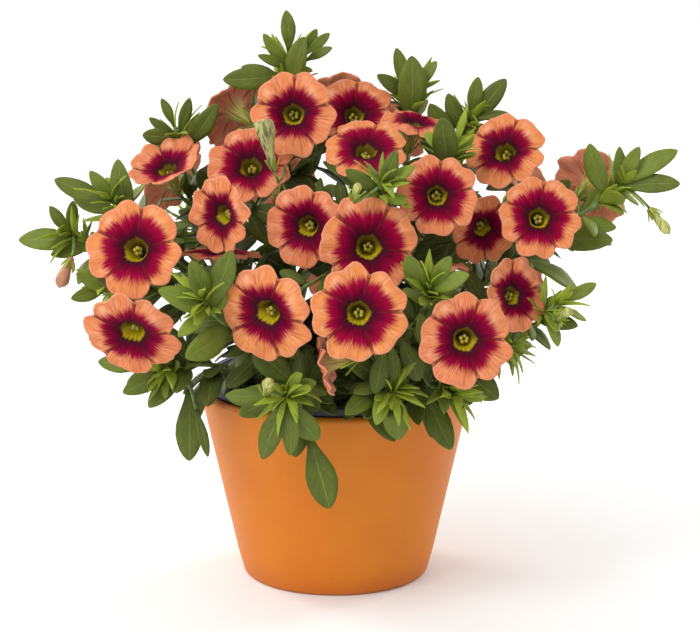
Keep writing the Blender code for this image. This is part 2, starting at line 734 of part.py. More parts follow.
def leaf_root(route, tip, length):
    """Point on a stem from which a leaf of about this length reaches the tip."""
    points = [along(route, step / 100)[0] for step in range(35, 99, 2)]
    return min(points, key=lambda p: (abs((tip - p).length - length), p.z))


def key_leaves(shoot, route, room, leaves):
    draw = random.Random(f"{SEED} key {shoot.name}")
    for row in KEY_LEAVES:
        if row.shoot != shoot.name:
            continue
        length = min(LONGEST_LEAF, max(SHORTEST_LEAF, row.width * MM * LEAF_SLENDERNESS))
        root = leaf_root(route, place(row), length)
        for attempt in range(LEAF_TRIES):
            spread = attempt * 0.9 * MM
            reach = (place(row) - root).length
            base = root if reach < length * 1.25 else place(row).lerp(root, length / reach)
            tip = place(row) + Vector([draw.uniform(-spread, spread) for _ in range(3)])
            arch = draw.uniform(0.02, 0.12)
            roll = roll_to(base, tip, facing(0, PHOTO_PITCH))
            roll += draw.uniform(-0.4, 0.4) * (1 + attempt * 0.1)
            if add_leaf(shoot, base, tip, row.width * MM, arch, roll, True, room, leaves):
                if base is not root:
                    add_twig(shoot, root, base, room, leaves)
                break
        else:
            print("no room for a key leaf of", shoot.name)


def add_twig(shoot, root, base, room, leaves):
    """Side twig that carries a leaf which stands further out than its own length."""
    route = [root, root.lerp(base, 0.5), base.lerp(root, -0.05)]
    twig = tube_mesh(route, taper(STALK_RADIUS * 1.4, STALK_RADIUS, 3), STALK_SIDES)
    own = (shoot.name, shoot.name + " leaves", shoot.name + " whole leaf")
    if room.blocked(*twig, allowed=own):
        print("a twig of", shoot.name, "crosses something")
    room.add(shoot.name + " leaves", *twig)
    leaves.append(twig)


def stem_leaves(shoot, route, room, leaves):
    """Large leaves in a spiral up the shoot, and small ones in a tuft at its tip."""
    draw = random.Random(f"{SEED} leaves {shoot.name}")
    total = shoot.leaves + shoot.tuft
    for i in range(total):
        large = i < shoot.leaves
        if large:
            share = LEAF_FIRST_SHARE + (0.92 - LEAF_FIRST_SHARE) * i / shoot.leaves
            length = draw.uniform(20, 27) * MM
            width = length * draw.uniform(0.34, 0.42)
            spread = math.radians(draw.uniform(50, 78))
        else:
            k = (i - shoot.leaves) / max(1, shoot.tuft - 1)
            share = 0.94 + 0.055 * k
            length = shoot.tuft_length * MM * (1 - 0.35 * k)
            width = length * draw.uniform(0.26, 0.34)
            spread = math.radians(62 - 38 * k)
        base, ahead = along(route, share)
        side, rise = across_pair(ahead)
        for attempt in range(LEAF_TRIES):
            turn = i * LEAF_TURN + draw.uniform(-0.2, 0.2) + attempt * 0.45
            lean = spread * (1 - 0.04 * attempt)
            radial = side * math.cos(turn) + rise * math.sin(turn)
            direction = ahead * math.cos(lean) + radial * math.sin(lean)
            tip = base + direction * length * (1 - 0.03 * attempt)
            if large:
                tip.z -= length * 0.12
            arch = draw.uniform(0.04, 0.13)
            outward = Vector((tip.x, tip.y, 0)).normalized() + Vector((0, 0, LEAF_UPTURN))
            roll = draw.uniform(-0.35, 0.35) + (roll_to(base, tip, outward) if large else 0)
            if add_leaf(shoot, base, tip, width, arch, roll, large, room, leaves):
                break


def fuse(name, stem, parts, finish):
    """One solid from a stem and all that grows from it."""
    made = object_from(name, *stem, finish)
    group = bpy.data.collections.new(name + " pieces")
    bpy.context.scene.collection.children.link(group)
    for i, (points, faces) in enumerate(parts):
        piece = object_from(f"{name} piece {i}", points, faces, finish)
        bpy.context.scene.collection.objects.unlink(piece)
        group.objects.link(piece)
    boolean(made, "UNION", collection=group)
    discard(group)
    return made


def main():
    for old in list(bpy.data.objects):
        bpy.data.objects.remove(old)
    orange = material("orange glaze", (0.80, 0.33, 0.07), 0.45)
    slate = material("dark plastic", (0.03, 0.035, 0.045), 0.5)
    earth = material("potting soil", (0.05, 0.03, 0.018), 0.95)
    green = material("leaf green", (0.12, 0.26, 0.04), 0.55)
    coral = material("coral petal", (0.93, 0.42, 0.22), 0.6)

    room = Room()
    for made in (make_pot(orange), make_grower_pot(slate)):
        points = [v.co.copy() for v in made.data.vertices]
        room.add(made.name, points, [tuple(p.vertices) for p in made.data.polygons])
    for bloom in BLOOMS:
        points, faces = bloom_mesh(bloom)
        if room.blocked(*bloom_mesh(bloom, extra=GAP)):
            print("crowded:", bloom.name)
        room.add(bloom.name, points, faces)
        object_from(bloom.name, points, faces, coral)

    routes, stems, parts = {}, {}, {}
    for shoot in SHOOTS:
        routes[shoot.name], stems[shoot.name] = grow_stem(shoot, room)
        parts[shoot.name] = []
    for bloom in BLOOMS:
        owner, stalk = grow_stalk(bloom, routes, room)
        if owner:
            parts[owner].append(stalk)
    soil = make_soil(earth, [route[0] for route in routes.values()])
    points = [v.co.copy() for v in soil.data.vertices]
    room.add("soil", points, [tuple(p.vertices) for p in soil.data.polygons])
    for grow in (key_leaves, stem_leaves):
        for shoot in SHOOTS:
            grow(shoot, routes[shoot.name], room, parts[shoot.name])
    for shoot in SHOOTS:
        fuse(shoot.name, stems[shoot.name], parts[shoot.name], green)


main()
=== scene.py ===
import math
import random
from collections import namedtuple

import bmesh
import bpy
from mathutils import Matrix, Vector, noise
from mathutils.bvhtree import BVHTree
from mathutils.kdtree import KDTree


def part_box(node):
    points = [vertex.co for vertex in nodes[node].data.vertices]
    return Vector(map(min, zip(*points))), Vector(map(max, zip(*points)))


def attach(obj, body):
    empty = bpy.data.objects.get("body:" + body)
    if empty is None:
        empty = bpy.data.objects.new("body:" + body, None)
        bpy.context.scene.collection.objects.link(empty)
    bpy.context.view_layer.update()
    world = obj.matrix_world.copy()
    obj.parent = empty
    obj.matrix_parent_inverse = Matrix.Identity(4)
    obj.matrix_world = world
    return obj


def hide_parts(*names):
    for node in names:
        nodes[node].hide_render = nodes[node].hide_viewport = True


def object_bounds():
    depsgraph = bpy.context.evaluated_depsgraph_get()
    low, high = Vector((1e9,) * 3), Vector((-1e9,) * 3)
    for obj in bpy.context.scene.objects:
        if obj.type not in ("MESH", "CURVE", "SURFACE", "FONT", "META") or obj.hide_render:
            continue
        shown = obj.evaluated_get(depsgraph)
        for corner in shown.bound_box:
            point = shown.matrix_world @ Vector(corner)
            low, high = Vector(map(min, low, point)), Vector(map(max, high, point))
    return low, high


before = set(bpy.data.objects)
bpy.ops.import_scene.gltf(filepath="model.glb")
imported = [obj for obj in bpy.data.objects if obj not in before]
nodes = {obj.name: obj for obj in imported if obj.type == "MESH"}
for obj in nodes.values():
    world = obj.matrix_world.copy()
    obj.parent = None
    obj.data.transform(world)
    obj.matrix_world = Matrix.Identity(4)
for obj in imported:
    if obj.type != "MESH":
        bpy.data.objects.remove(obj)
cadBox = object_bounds()
mm = 0.001
seed = 11
fullTurn = 2 * math.pi
anyTurn = (0, 6.28)

# small helpers


def facing(bearing, pitch):
    b, p = math.radians(bearing), math.radians(pitch)
    return Vector((math.sin(b) * math.cos(p), -math.cos(b) * math.cos(p), math.sin(p)))


def spotOf(across, out, up):
    return Vector((across * mm, -out * mm, up * mm))


def place(row):
    return spotOf(row.across, row.out, row.up)


def around(side, rise, turn):
    return side * math.cos(turn) + rise * math.sin(turn)


def turnedPair(side, rise, turn):
    return around(side, rise, turn), around(rise, -side, turn)


def acrossPair(axis):
    guide = Vector((0, 0, 1)) if abs(axis.z) < 0.9 else Vector((1, 0, 0))
    side = axis.cross(guide).normalized()
    return side, side.cross(axis).normalized()


def smoothStep(low, high, value):
    t = min(1.0, max(0.0, (value - low) / (high - low)))
    return t * t * (3 - 2 * t)


def cubic(start, startPull, end, endPull, u):
    a, b = 2 * u**3 - 3 * u**2 + 1, u**3 - 2 * u**2 + u
    c, d = -2 * u**3 + 3 * u**2, u**3 - u**2
    return start * a + startPull * b + end * c + endPull * d


def alongCurve(keys, t):
    # smooth curve through (place, value) pairs
    for i in range(len(keys) - 1):
        if t <= keys[i + 1][0] or i == len(keys) - 2:
            p0, p3 = keys[max(i - 1, 0)], keys[min(i + 2, len(keys) - 1)]
            p1, p2 = keys[i], keys[i + 1]
            span = p2[0] - p1[0]
            u = min(1.0, max(0.0, (t - p1[0]) / span))
            m1 = (p2[1] - p0[1]) / (p2[0] - p0[0]) * span
            m2 = (p3[1] - p1[1]) / (p3[0] - p1[0]) * span
            return cubic(p1[1], m1, p2[1], m2, u)
    return keys[-1][1]


def spun(bm, profile, steps, near=1e-7):
    # a profile turned round the upright axis
    oldVerts, oldFaces = set(bm.verts), set(bm.faces)
    line = [bm.verts.new((r, 0, z)) for r, z in profile]
    edges = [bm.edges.new(pair) for pair in zip(line, line[1:])]
    bmesh.ops.spin(
        bm, geom=line + edges, cent=(0, 0, 0), axis=(0, 0, 1), dvec=(0, 0, 0),
        angle=fullTurn, steps=steps, use_merge=True,
    )
    bmesh.ops.remove_doubles(bm, verts=[v for v in bm.verts if v not in oldVerts], dist=near)
    return [f for f in bm.faces if f not in oldFaces]


def paint(verts, index):
    for f in {f for v in verts for f in v.link_faces}:
        f.material_index = index


def addObject(name, data):
    made = bpy.data.objects.new(name, data)
    bpy.context.scene.collection.objects.link(made)
    return made


def finishPiece(name, bm, finishes, angle=180):
    mesh = bpy.data.meshes.new(name)
    bm.to_mesh(mesh)
    bm.free()
    for finish in finishes:
        mesh.materials.append(finish)
    mesh.shade_smooth()
    if angle < 180:
        mesh.set_sharp_from_angle(angle=math.radians(angle))
    made = addObject(name, mesh)
    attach(made, "root")
    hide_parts(name)


# the photograph's view

view = {
    "target": (5.8 * mm, 0, 105.4 * mm),
    "distance": 1268 * mm,
    "elevation": 13.8,
    "halfWidth": 140 * mm,  # what the frame takes in to each side at the target
}


def setCamera():
    camera = bpy.data.cameras.new("camera")
    made = addObject("camera", camera)
    back = facing(0, view["elevation"])
    made.location = Vector(view["target"]) + back * view["distance"]
    made.rotation_euler = (-back).to_track_quat("-Z", "Y").to_euler()
    camera.sensor_width = 36
    camera.lens = camera.sensor_width / 2 * view["distance"] / view["halfWidth"]
    camera.clip_start, camera.clip_end = 0.01, 100
    bpy.context.scene.camera = made


lights = {
    # name: place, size, power, what it is aimed at
    "key": ((-0.85, -1.0, 1.35), 0.7, 15, (0, 0, 0.11)),
    "fill": ((1.1, -1.1, 0.6), 1.1, 1, (0, 0, 0.11)),
    "rimRight": ((0.95, 0.75, 0.55), 0.5, 7, (0, 0, 0.11)),
    "rimLeft": ((-0.95, 0.75, 0.55), 0.5, 7, (0, 0, 0.11)),
    "sweep": ((0, 2.6, 1.6), 2.2, 14, (0, 2.4, 0)),  # keeps the far floor white
}
room = {
    "strength": 0.80,
    "fall": 0.45,  # how much dimmer the room is on the right than on the left
    "floor": (0.86, 0.86, 0.85),
    "floorSize": 4,
}


def setStudio():
    for name, (spot, size, power, target) in lights.items():
        lamp = bpy.data.lights.new(name, "AREA")
        lamp.size, lamp.energy = size, power
        made = addObject(name, lamp)
        made.location = spot
        aim = Vector(target) - made.location
        made.rotation_euler = aim.to_track_quat("-Z", "Y").to_euler()
    world = bpy.data.worlds.new("room")
    world.use_nodes = True
    net = Net(world.node_tree)
    across, deep, up = net.parts(net.one("TexCoord", {}, "Generated"))
    left, right = room["strength"] + room["fall"] / 2, room["strength"] - room["fall"] / 2
    background = world.node_tree.nodes["Background"]
    net.put(net.ramp(across, -1, 1, left, right, "LINEAR"), background.inputs["Strength"])
    net.put((1, 1, 1), background.inputs["Color"])
    bpy.context.scene.world = world
    bpy.context.scene.view_settings.view_transform = "Standard"

    bm = bmesh.new()
    bmesh.ops.create_grid(bm, x_segments=1, y_segments=1, size=room["floorSize"])
    mesh = bpy.data.meshes.new("floor")
    bm.to_mesh(mesh)
    bm.free()
    mesh.materials.append(plainFinish("floor", room["floor"], 0.9))
    addObject("floor", mesh)


# shader nodes


class Value:
    # a node's output, which can be reckoned with
    def __init__(self, net, socket):
        self.net, self.socket = net, socket

    def __add__(self, other):
        return self.net.math("ADD", self, other)

    def __sub__(self, other):
        return self.net.math("SUBTRACT", self, other)

    def __mul__(self, other):
        return self.net.math("MULTIPLY", self, other)

    def __truediv__(self, other):
        return self.net.math("DIVIDE", self, other)


class Net:
    # the nodes of one material, group or world
    def __init__(self, tree):
        self.tree = tree

    def put(self, value, socket):
        if isinstance(value, Value):
            self.tree.links.new(value.socket, socket)
        elif socket.type == "RGBA":
            socket.default_value = (*value, 1)
        else:
            socket.default_value = value

    def make(self, kind, values, settings):
        made = self.tree.nodes.new(f"ShaderNode{kind}")
        for name, value in settings.items():
            setattr(made, name, value)
        for key, value in values.items():
            self.put(value, made.inputs[key])
        return made

    def one(self, kind, values, output=0, **settings):
        return Value(self, self.make(kind, values, settings).outputs[output])

    def all(self, kind, values, **settings):
        return [Value(self, socket) for socket in self.make(kind, values, settings).outputs]

    def math(self, operation, *values):
        return self.one("Math", dict(enumerate(values)), operation=operation)

    def ramp(self, value, low, high, outLow=0.0, outHigh=1.0, kind="SMOOTHSTEP"):
        values = {"Value": value, "From Min": low, "From Max": high, "To Min": outLow, "To Max": outHigh}
        return self.one("MapRange", values, interpolation_type=kind)

    def spread(self, value, reach):
        # grain, which lies between 0.3 and 0.7, as a push to either side
        return self.ramp(value, 0.3, 0.7, -reach, reach, "LINEAR")

    def mix(self, mask, under, over):
        return self.one("Mix", {0: mask, 6: under, 7: over}, 2, data_type="RGBA")

    def coats(self, colour, *coats):
        for mask, coat in coats:
            colour = self.mix(mask, colour, coat)
        return colour

    def grain(self, vector, scale, detail=3.0, roughness=0.55):
        values = {"Vector": vector, "Scale": scale, "Detail": detail, "Roughness": roughness}
        return self.one("Group", values, node_tree=grainEffect)

    def bump(self, height, strength, distance):
        return self.one("Bump", {"Height": height, "Strength": strength, "Distance": distance}, "Normal")

    def parts(self, vector):
        return self.all("SeparateXYZ", {"Vector": vector})

    def spot(self):
        return self.one("TexCoord", {}, "Object")

    def uv(self):
        return self.one("UVMap", {}, uv_map="UVMap")

    def tone(self):
        return self.all("SeparateColor", {"Color": self.one("Attribute", {}, attribute_name="tone")})

    def surface(self, values):
        shader = self.tree.nodes["Principled BSDF"]
        for label, value in values.items():
            self.put(value, shader.inputs[label])


def newFinish(name):
    finish = bpy.data.materials.new(name)
    finish.use_nodes = True
    return finish, Net(finish.node_tree)


def plainFinish(name, colour, roughness):
    finish, net = newFinish(name)
    net.surface({"Base Color": colour, "Roughness": roughness})
    return finish


def newEffect(name, given, result, build):
    # a group that several materials place, each with its own values
    group = bpy.data.node_groups.new(name, "ShaderNodeTree")
    for way, labels in (("INPUT", given), ("OUTPUT", result)):
        for label in labels:
            kind = "NodeSocketVector" if label in ("UV", "Vector") else "NodeSocketFloat"
            group.interface.new_socket(name=label, in_out=way, socket_type=kind)
    net = Net(group)
    start = group.nodes.new("NodeGroupInput").outputs
    end = group.nodes.new("NodeGroupOutput").inputs
    values = build(net, *(Value(net, start[label]) for label in given))
    for label, value in zip(result, values):
        net.put(value, end[label])
    return group


def buildGrain(net, vector, scale, detail, roughness):
    values = {"Vector": vector, "Scale": scale, "Detail": detail, "Roughness": roughness}
    return [net.one("TexNoise", values)]


def buildPetalMap(net, uv):
    # where a point lies on a bloom: reach from the centre to the edge, turn round it, nearness of a seam
    x, y, flat = net.parts(uv)
    x, y = x - 0.5, y - 0.5
    reach = net.math("SQRT", x * x + y * y) / petals["mapRadius"]
    turn = net.math("ARCTAN2", y, x)
    return x, y, reach, turn, net.math("COSINE", (turn - petals["firstSeam"]) * petals["seams"])


def buildStreaks(net, x, y, reach, scale, pull):
    # grain on the unit circle, drawn out along the radius
    safe = net.math("MAXIMUM", reach, 0.02)
    circle = net.one("CombineXYZ", {"X": x / safe, "Y": y / safe, "Z": reach * pull})
    return [net.grain(circle, scale, 2.0)]


# blooms

Bloom = namedtuple("Bloom", "name across out up bearing pitch width recurve")
blooms = [Bloom(f"bloom_{name}", *numbers) for name, *numbers in (
    ("top", -16, 36, 194, -4, 18, 34, 1),
    ("top_behind", 8, 8, 189, 12, 32, 32, 1),
    ("top_cupped", 12, 46, 183, 2, 56, 33, 2),
    ("top_right_edge", 31, 20, 189, 45, 74, 26, 3),
    ("upper_left", -33, 28, 173, -12, 42, 35, 1),
    ("turned_away_left", -42, -16, 187, -135, 22, 31, 2),
    ("turned_away_top", 2, -36, 188, 176, 30, 29, 2),
    ("left_cupped", -66, 20, 171, -38, 60, 31, -2),
    ("left_dark", -44, 54, 158, -42, 4, 31, 0),
    ("left_large", -76, 62, 147, -17, 24, 39, 1),
    ("left_nodding", -77, 71, 115, -14, -27, 39, 2),
    ("centre_left", -11, 60, 155, -20, 8, 33, 0),
    ("centre_large", 13, 72, 150, 6, 18, 39, 1),
    ("front_left", -26, 86, 127, -28, -8, 39, 2),
    ("front_centre", 9, 96, 130, 0, 12, 37, 1),
    ("right_upper", 39, 60, 167, 6, 14, 32, 1),
    ("right_shaded", 58, 34, 148, 22, -8, 29, 0),
    ("right_large", 78, 52, 157, 6, 22, 33, 1),
    ("right_top", 65, 30, 179, -20, 40, 33, 2),
    ("turned_away_right", 103, -4, 158, 148, 12, 34, 2),
    ("front_right", 49, 89, 118, 9, 8, 37, 1),
    ("right_dark", 69, 58, 128, 38, 18, 30, 0),
    ("edge_right", 36, 46, 137, 178, 82, 32, 2),
    ("edge_front", -5, 80, 106, -96, -12, 24, 3),
    ("edge_left", -45, 26, 138, 178, 84, 33, 2),
    ("back_left_high", -38, -62, 172, -150, 40, 34, 1),
    ("back_left", -68, -54, 152, -128, 22, 36, 1),
    ("back_left_low", -84, -34, 116, -112, 2, 36, 1),
    ("back", -26, -88, 142, -165, 14, 37, 1),
    ("back_high", 24, -72, 168, 164, 34, 36, 1),
    ("back_right", 42, -90, 130, 156, 6, 36, 1),
    ("back_right_high", 80, -54, 146, 124, 20, 36, 1),
    ("back_right_low", 78, -46, 108, 120, -6, 35, 1),
    ("back_low", 2, -92, 106, 178, -14, 36, 1),
)]

petals = {
    "lobes": 10,
    "seams": 5,
    "firstSeam": math.radians(18),
    "throatShare": 0.25,
    "tubeLength": 14 * mm,
    "notches": (0.17, 0.08),
    "thickness": 0.5 * mm,
    "anthers": 5,
    "antherSize": 0.85 * mm,
    "antherReach": 1.15 * mm,
    "antherDepth": (4.6 * mm, 5.8 * mm),
    "spokes": 80,
    "rings": 18,
    "ripple": 0.75 * mm,
    "uneven": 0.05,  # how much the lobes differ in reach
    "fold": 0.7 * mm,  # how far the seams sink below the limb
    "mapRadius": 0.47,  # the limb's reach in its UV square
    # share of the way out, radius in throat radii, radius in limb radii, height
    "profile": (
        (0.0, 0, 0.045, -13.2 * mm), (0.10, 0.42, 0, -11.4 * mm),
        (0.22, 0.72, 0, -6.8 * mm), (0.32, 1.02, 0, -3.2 * mm),
        (0.42, 1.55, 0, -1.7 * mm), (0.60, 0, 0.58, -0.8 * mm),
        (0.80, 0, 0.80, -0.6 * mm), (1.0, 0, 1, 0),
    ),
}


def bloomFrame(row):
    # the same draw order as the solid's, so that limb and throat meet the same edge
    draw = random.Random(f"{seed} {row.name}")
    axis = facing(row.bearing, row.pitch)
    radius = row.width * mm / 2
    side, rise = turnedPair(*acrossPair(axis), draw.uniform(0, fullTurn / petals["lobes"]))
    edges = []
    for i in range(2 * petals["lobes"]):
        if i % 2:
            reach = radius * (1 - petals["notches"][i // 2 % 2] * draw.uniform(0.7, 1.3))
            height = -row.recurve * mm * 0.5 + draw.uniform(-0.3, 0.3) * mm
        else:
            reach = radius * (1 + draw.uniform(-0.05, 0.03))
            height = -row.recurve * mm + draw.uniform(-1.2, 0.9) * mm
        edges.append((reach, height))
    return axis, side, rise, radius, edges, draw


def edgeAt(edges, turn):
    # rounded scallops between the solid's edge points
    at = turn / fullTurn * len(edges)
    i = int(math.floor(at)) % len(edges)
    u = at - math.floor(at)
    (r1, h1), (r2, h2) = edges[i], edges[(i + 1) % len(edges)]
    bow = math.sin(u * math.pi / 2) if r2 > r1 else 1 - math.cos(u * math.pi / 2)
    bow = bow * 0.75 + smoothStep(0, 1, u) * 0.25
    return r1 + (r2 - r1) * bow, h1 + (h2 - h1) * smoothStep(0, 1, u)


def bentLimb(spot, turn, share, radius, edges, offset):
    # reach and height of a point of the limb, once its edge, seams and ripples are in
    edgeReach, edgeHeight = edgeAt(edges, turn)
    outward = smoothStep(0.40, 1.0, share)
    scaled = math.hypot(spot.x, spot.y) * (1 + (edgeReach / radius - 1) * outward)
    height = spot.z + edgeHeight * smoothStep(0.55, 1.0, share)
    # the seams sink and the petals between them crown
    wave = math.cos(petals["seams"] * (turn - petals["firstSeam"]))
    limb = smoothStep(0.34, 0.6, share) * (1 - 0.5 * smoothStep(0.85, 1.0, share))
    height -= petals["fold"] * limb * smoothStep(0.35, 1.0, wave) * 0.8
    height += petals["fold"] * limb * 0.25 * smoothStep(0.0, 1.0, -wave)
    x, y = math.cos(turn), math.sin(turn)
    ripple = noise.noise(Vector((x * 3.2, y * 3.2, share * 1.2)) + offset)
    fine = noise.noise(Vector((x * 9, y * 9, share * 3)) + offset)
    height += petals["ripple"] * outward * (ripple * 1.6 + fine * 0.7)
    way = Vector((x, y, 0))
    uneven = noise.noise(way * 1.9 + offset) + 0.35 * noise.noise(way * 9 + offset)
    return scaled * (1 + petals["uneven"] * outward * (uneven - 0.12)), height


def makeBloom(row, finishes):
    axis, side, rise, radius, edges, draw = bloomFrame(row)
    throat = radius * petals["throatShare"]
    offset = Vector([draw.uniform(0, 50) for _ in range(3)])
    radii = [(s, throat * inner + radius * outer) for s, inner, outer, h in petals["profile"]]
    heights = [(s, h) for s, inner, outer, h in petals["profile"]]
    steps = [k / petals["rings"] for k in range(petals["rings"] + 1)]
    profile = [(alongCurve(radii, s), alongCurve(heights, s)) for s in steps]
    bm = bmesh.new()
    spun(bm, profile, petals["spokes"])
    low = [e for e in bm.edges if e.is_boundary and all(v.co.z < -12 * mm for v in e.verts)]
    bmesh.ops.contextual_create(bm, geom=low)
    bmesh.ops.recalc_face_normals(bm, faces=bm.faces)
    if sum(f.normal.z for f in bm.faces) < 0:
        bmesh.ops.reverse_faces(bm, faces=bm.faces)

    uvs = bm.loops.layers.uv.new("UVMap")
    flat = {}
    for v in bm.verts:
        turn = math.atan2(v.co.y, v.co.x) % fullTurn
        reach = math.hypot(v.co.x, v.co.y)
        share = min(zip(profile, steps), key=lambda ring: abs(ring[0][0] - reach))[1]
        mapped = petals["mapRadius"] * share
        flat[v] = (0.5 + mapped * math.cos(turn), 0.5 + mapped * math.sin(turn))
        reach, height = bentLimb(v.co, turn, share, radius, edges, offset)
        v.co = place(row) + around(side, rise, turn) * reach + axis * height
    for f in bm.faces:
        for loop in f.loops:
            loop[uvs].uv = flat[loop.vert]
    bm.normal_update()
    bmesh.ops.solidify(bm, geom=list(bm.faces), thickness=petals["thickness"])
    bm.normal_update()
    for f in bm.faces:
        f.material_index = 0 if f.normal.dot(axis) > -0.1 else 1
    for i in range(petals["anthers"]):
        spot = around(side, rise, fullTurn * (i + draw.uniform(-0.2, 0.2)) / petals["anthers"])
        depth = draw.uniform(*petals["antherDepth"])
        ball = bmesh.ops.create_uvsphere(bm, u_segments=8, v_segments=6, radius=petals["antherSize"])
        for v in ball["verts"]:
            v.co = place(row) + spot * petals["antherReach"] - axis * depth + v.co
        paint(ball["verts"], 2)
    tone = bm.verts.layers.float_color.new("tone")
    up = math.atan2(rise.z, side.z) / fullTurn % 1
    tones = (draw.uniform(0, 1), draw.uniform(0, 1), up, 1)
    for v in bm.verts:
        v[tone] = tones
    finishPiece(row.name, bm, finishes)


petalLook = {
    "limb": (0.71, 0.232, 0.108),
    "limbWarm": (0.74, 0.275, 0.074),
    "edge": (0.70, 0.215, 0.105),
    # the pale lip colour is a painted highlight, laid in pale patches, in streaks and as a rim along the
    # limb's edge
    "lip": (0.84, 0.42, 0.25),
    "eye": (0.300, 0.0010, 0.033),
    "eyeDeep": (0.060, 0.0006, 0.013),
    "collar": (0.034, 0.007, 0.014),
    "throat": (0.50, 0.385, 0.010),
    "throatShade": (0.14, 0.105, 0.008),
    # painted shade at the bottom of the tube
    "throatDeepShade": (0.045, 0.030, 0.004),
    "vein": (0.40, 0.050, 0.035),
    "seam": (0.13, 0.010, 0.016),
    "anther": (0.42, 0.34, 0.030),
    "back": (0.66, 0.27, 0.17),
    "backVein": (0.24, 0.045, 0.050),
    "backTube": (0.45, 0.42, 0.10),
    "scatter": {
        "Roughness": 0.62, "Subsurface Radius": (0.004, 0.0016, 0.0008), "Subsurface Scale": 0.6,
    },
}
grainEffect = newEffect("grain", ("Vector", "Scale", "Detail", "Roughness"), ("Value",), buildGrain)
petalMapEffect = newEffect("petal map", ("UV",), ("X", "Y", "Reach", "Turn", "Seam"), buildPetalMap)
streakEffect = newEffect("streaks", ("X", "Y", "Reach", "Scale", "Pull"), ("Value",), buildStreaks)


def petalMap(net, streaks):
    # the UV place, its reach, turn and seam, and streaks of the scales and pulls that are asked for
    uv = net.uv()
    x, y, reach, turn, seam = net.all("Group", {"UV": uv}, node_tree=petalMapEffect)
    spot = {"X": x, "Y": y, "Reach": reach}
    found = [
        net.one("Group", {**spot, "Scale": scale, "Pull": pull}, node_tree=streakEffect)
        for scale, pull in streaks
    ]
    return uv, reach, turn, seam, *found


def petalFront():
    finish, net = newFinish("petal front")
    look = petalLook
    uv, reach, turn, seam, fine, broad, hairline = petalMap(net, ((60, 0.04), (14, 0.10), (150, 0.03)))
    eyeTone, warmth, up = net.tone()
    veins = net.ramp(fine, 0.53, 0.63) * net.ramp(reach, 0.99, 0.62, 0.16, 0.62)
    limb = net.coats(
        net.mix(warmth, look["limb"], look["limbWarm"]),
        (net.ramp(net.grain(uv, 7), 0.35, 0.7, 0.0, 0.5), look["edge"]),
        # painted highlight: pale patches of the lip colour
        (net.ramp(net.grain(uv, 4.5, 2), 0.48, 0.72, 0.0, 0.75), look["lip"]),
        # painted highlight: pale streaks of the lip colour between the veins
        (net.ramp(fine, 0.45, 0.3, 0.0, 0.5), look["lip"]),
        (net.ramp(reach, 0.84, 0.97, 0.0, 0.6), look["edge"]),
        # painted highlight: a pale rim of the lip colour round the edge
        (net.ramp(reach, 0.955, 0.99, 0.0, 0.35), look["lip"]),
        (veins, look["vein"]),
    )
    # the eye's feathered edge reaches further out along the seams
    feather = net.spread(fine, 0.055) + net.ramp(seam, -1.0, 1.0, 0.035, -0.045, "LINEAR")
    feather = feather + net.spread(hairline, 0.038) + net.spread(broad, 0.045)
    size = net.ramp(eyeTone, 0.0, 1.0, 0.58, 0.70, "LINEAR")
    seamDepth = net.ramp(reach, 0.35, 0.5, 0.0, 0.85) * net.ramp(reach, 0.86, 1.0, 1.0, 0.55)
    # the wall of the tube that faces the light is yellow, the one under the limb olive and dark
    lit = net.ramp(net.math("COSINE", turn - up * fullTurn), 0.35, -0.55)
    inside = net.coats(
        look["throatShade"],
        (lit, look["throat"]),
        (net.ramp(fine, 0.45, 0.68, 0.0, 0.55), look["throatShade"]),
        # painted shade darkens the bottom of the tube
        (net.ramp(reach, 0.13, 0.06), look["throatDeepShade"]),
    )
    colour = net.coats(
        limb,
        (net.ramp(reach + feather, size + 0.09, size - 0.07), look["eye"]),
        (net.ramp(reach + feather, 0.66, 0.38) * 0.85, look["eyeDeep"]),
        (net.ramp(seam, 0.955, 0.988) * seamDepth, look["seam"]),
        (net.ramp(reach + feather * 0.5, 0.42, 0.34, 0.0, 0.8), look["collar"]),
        (net.ramp(reach + feather * 0.25, 0.335, 0.30), inside),
    )
    relief = fine + net.grain(uv, 90, 4) * 0.6
    net.surface({
        **look["scatter"], "Base Color": colour, "Specular IOR Level": 0.04, "Subsurface Weight": 0.04,
        "Normal": net.bump(relief, 0.35, 0.6 * mm),
    })
    return finish


def petalBack():
    finish, net = newFinish("petal back")
    look = petalLook
    uv, reach, turn, seam, fine = petalMap(net, ((50, 0.05),))
    ribs = net.ramp(seam, 0.9, 1.0) * net.ramp(reach, 1.0, 0.3, 0.2, 0.9)
    veins = net.ramp(fine, 0.52, 0.64) * net.ramp(reach, 1.0, 0.5, 0.15, 0.8)
    stripes = net.mix(net.ramp(fine, 0.5, 0.64), look["backTube"], look["backVein"])
    colour = net.coats(
        look["back"],
        (net.ramp(fine, 0.3, 0.7, 0.0, 0.5), look["edge"]),
        (ribs, look["backVein"]),
        (veins, look["backVein"]),
        (net.ramp(reach, 0.50, 0.22), stripes),
    )
    net.surface({
        **look["scatter"], "Base Color": colour, "Specular IOR Level": 0.15, "Subsurface Weight": 0.08,
        "Normal": net.bump(fine, 0.4, 0.6 * mm),
    })
    return finish


# shoots, as the solids grew

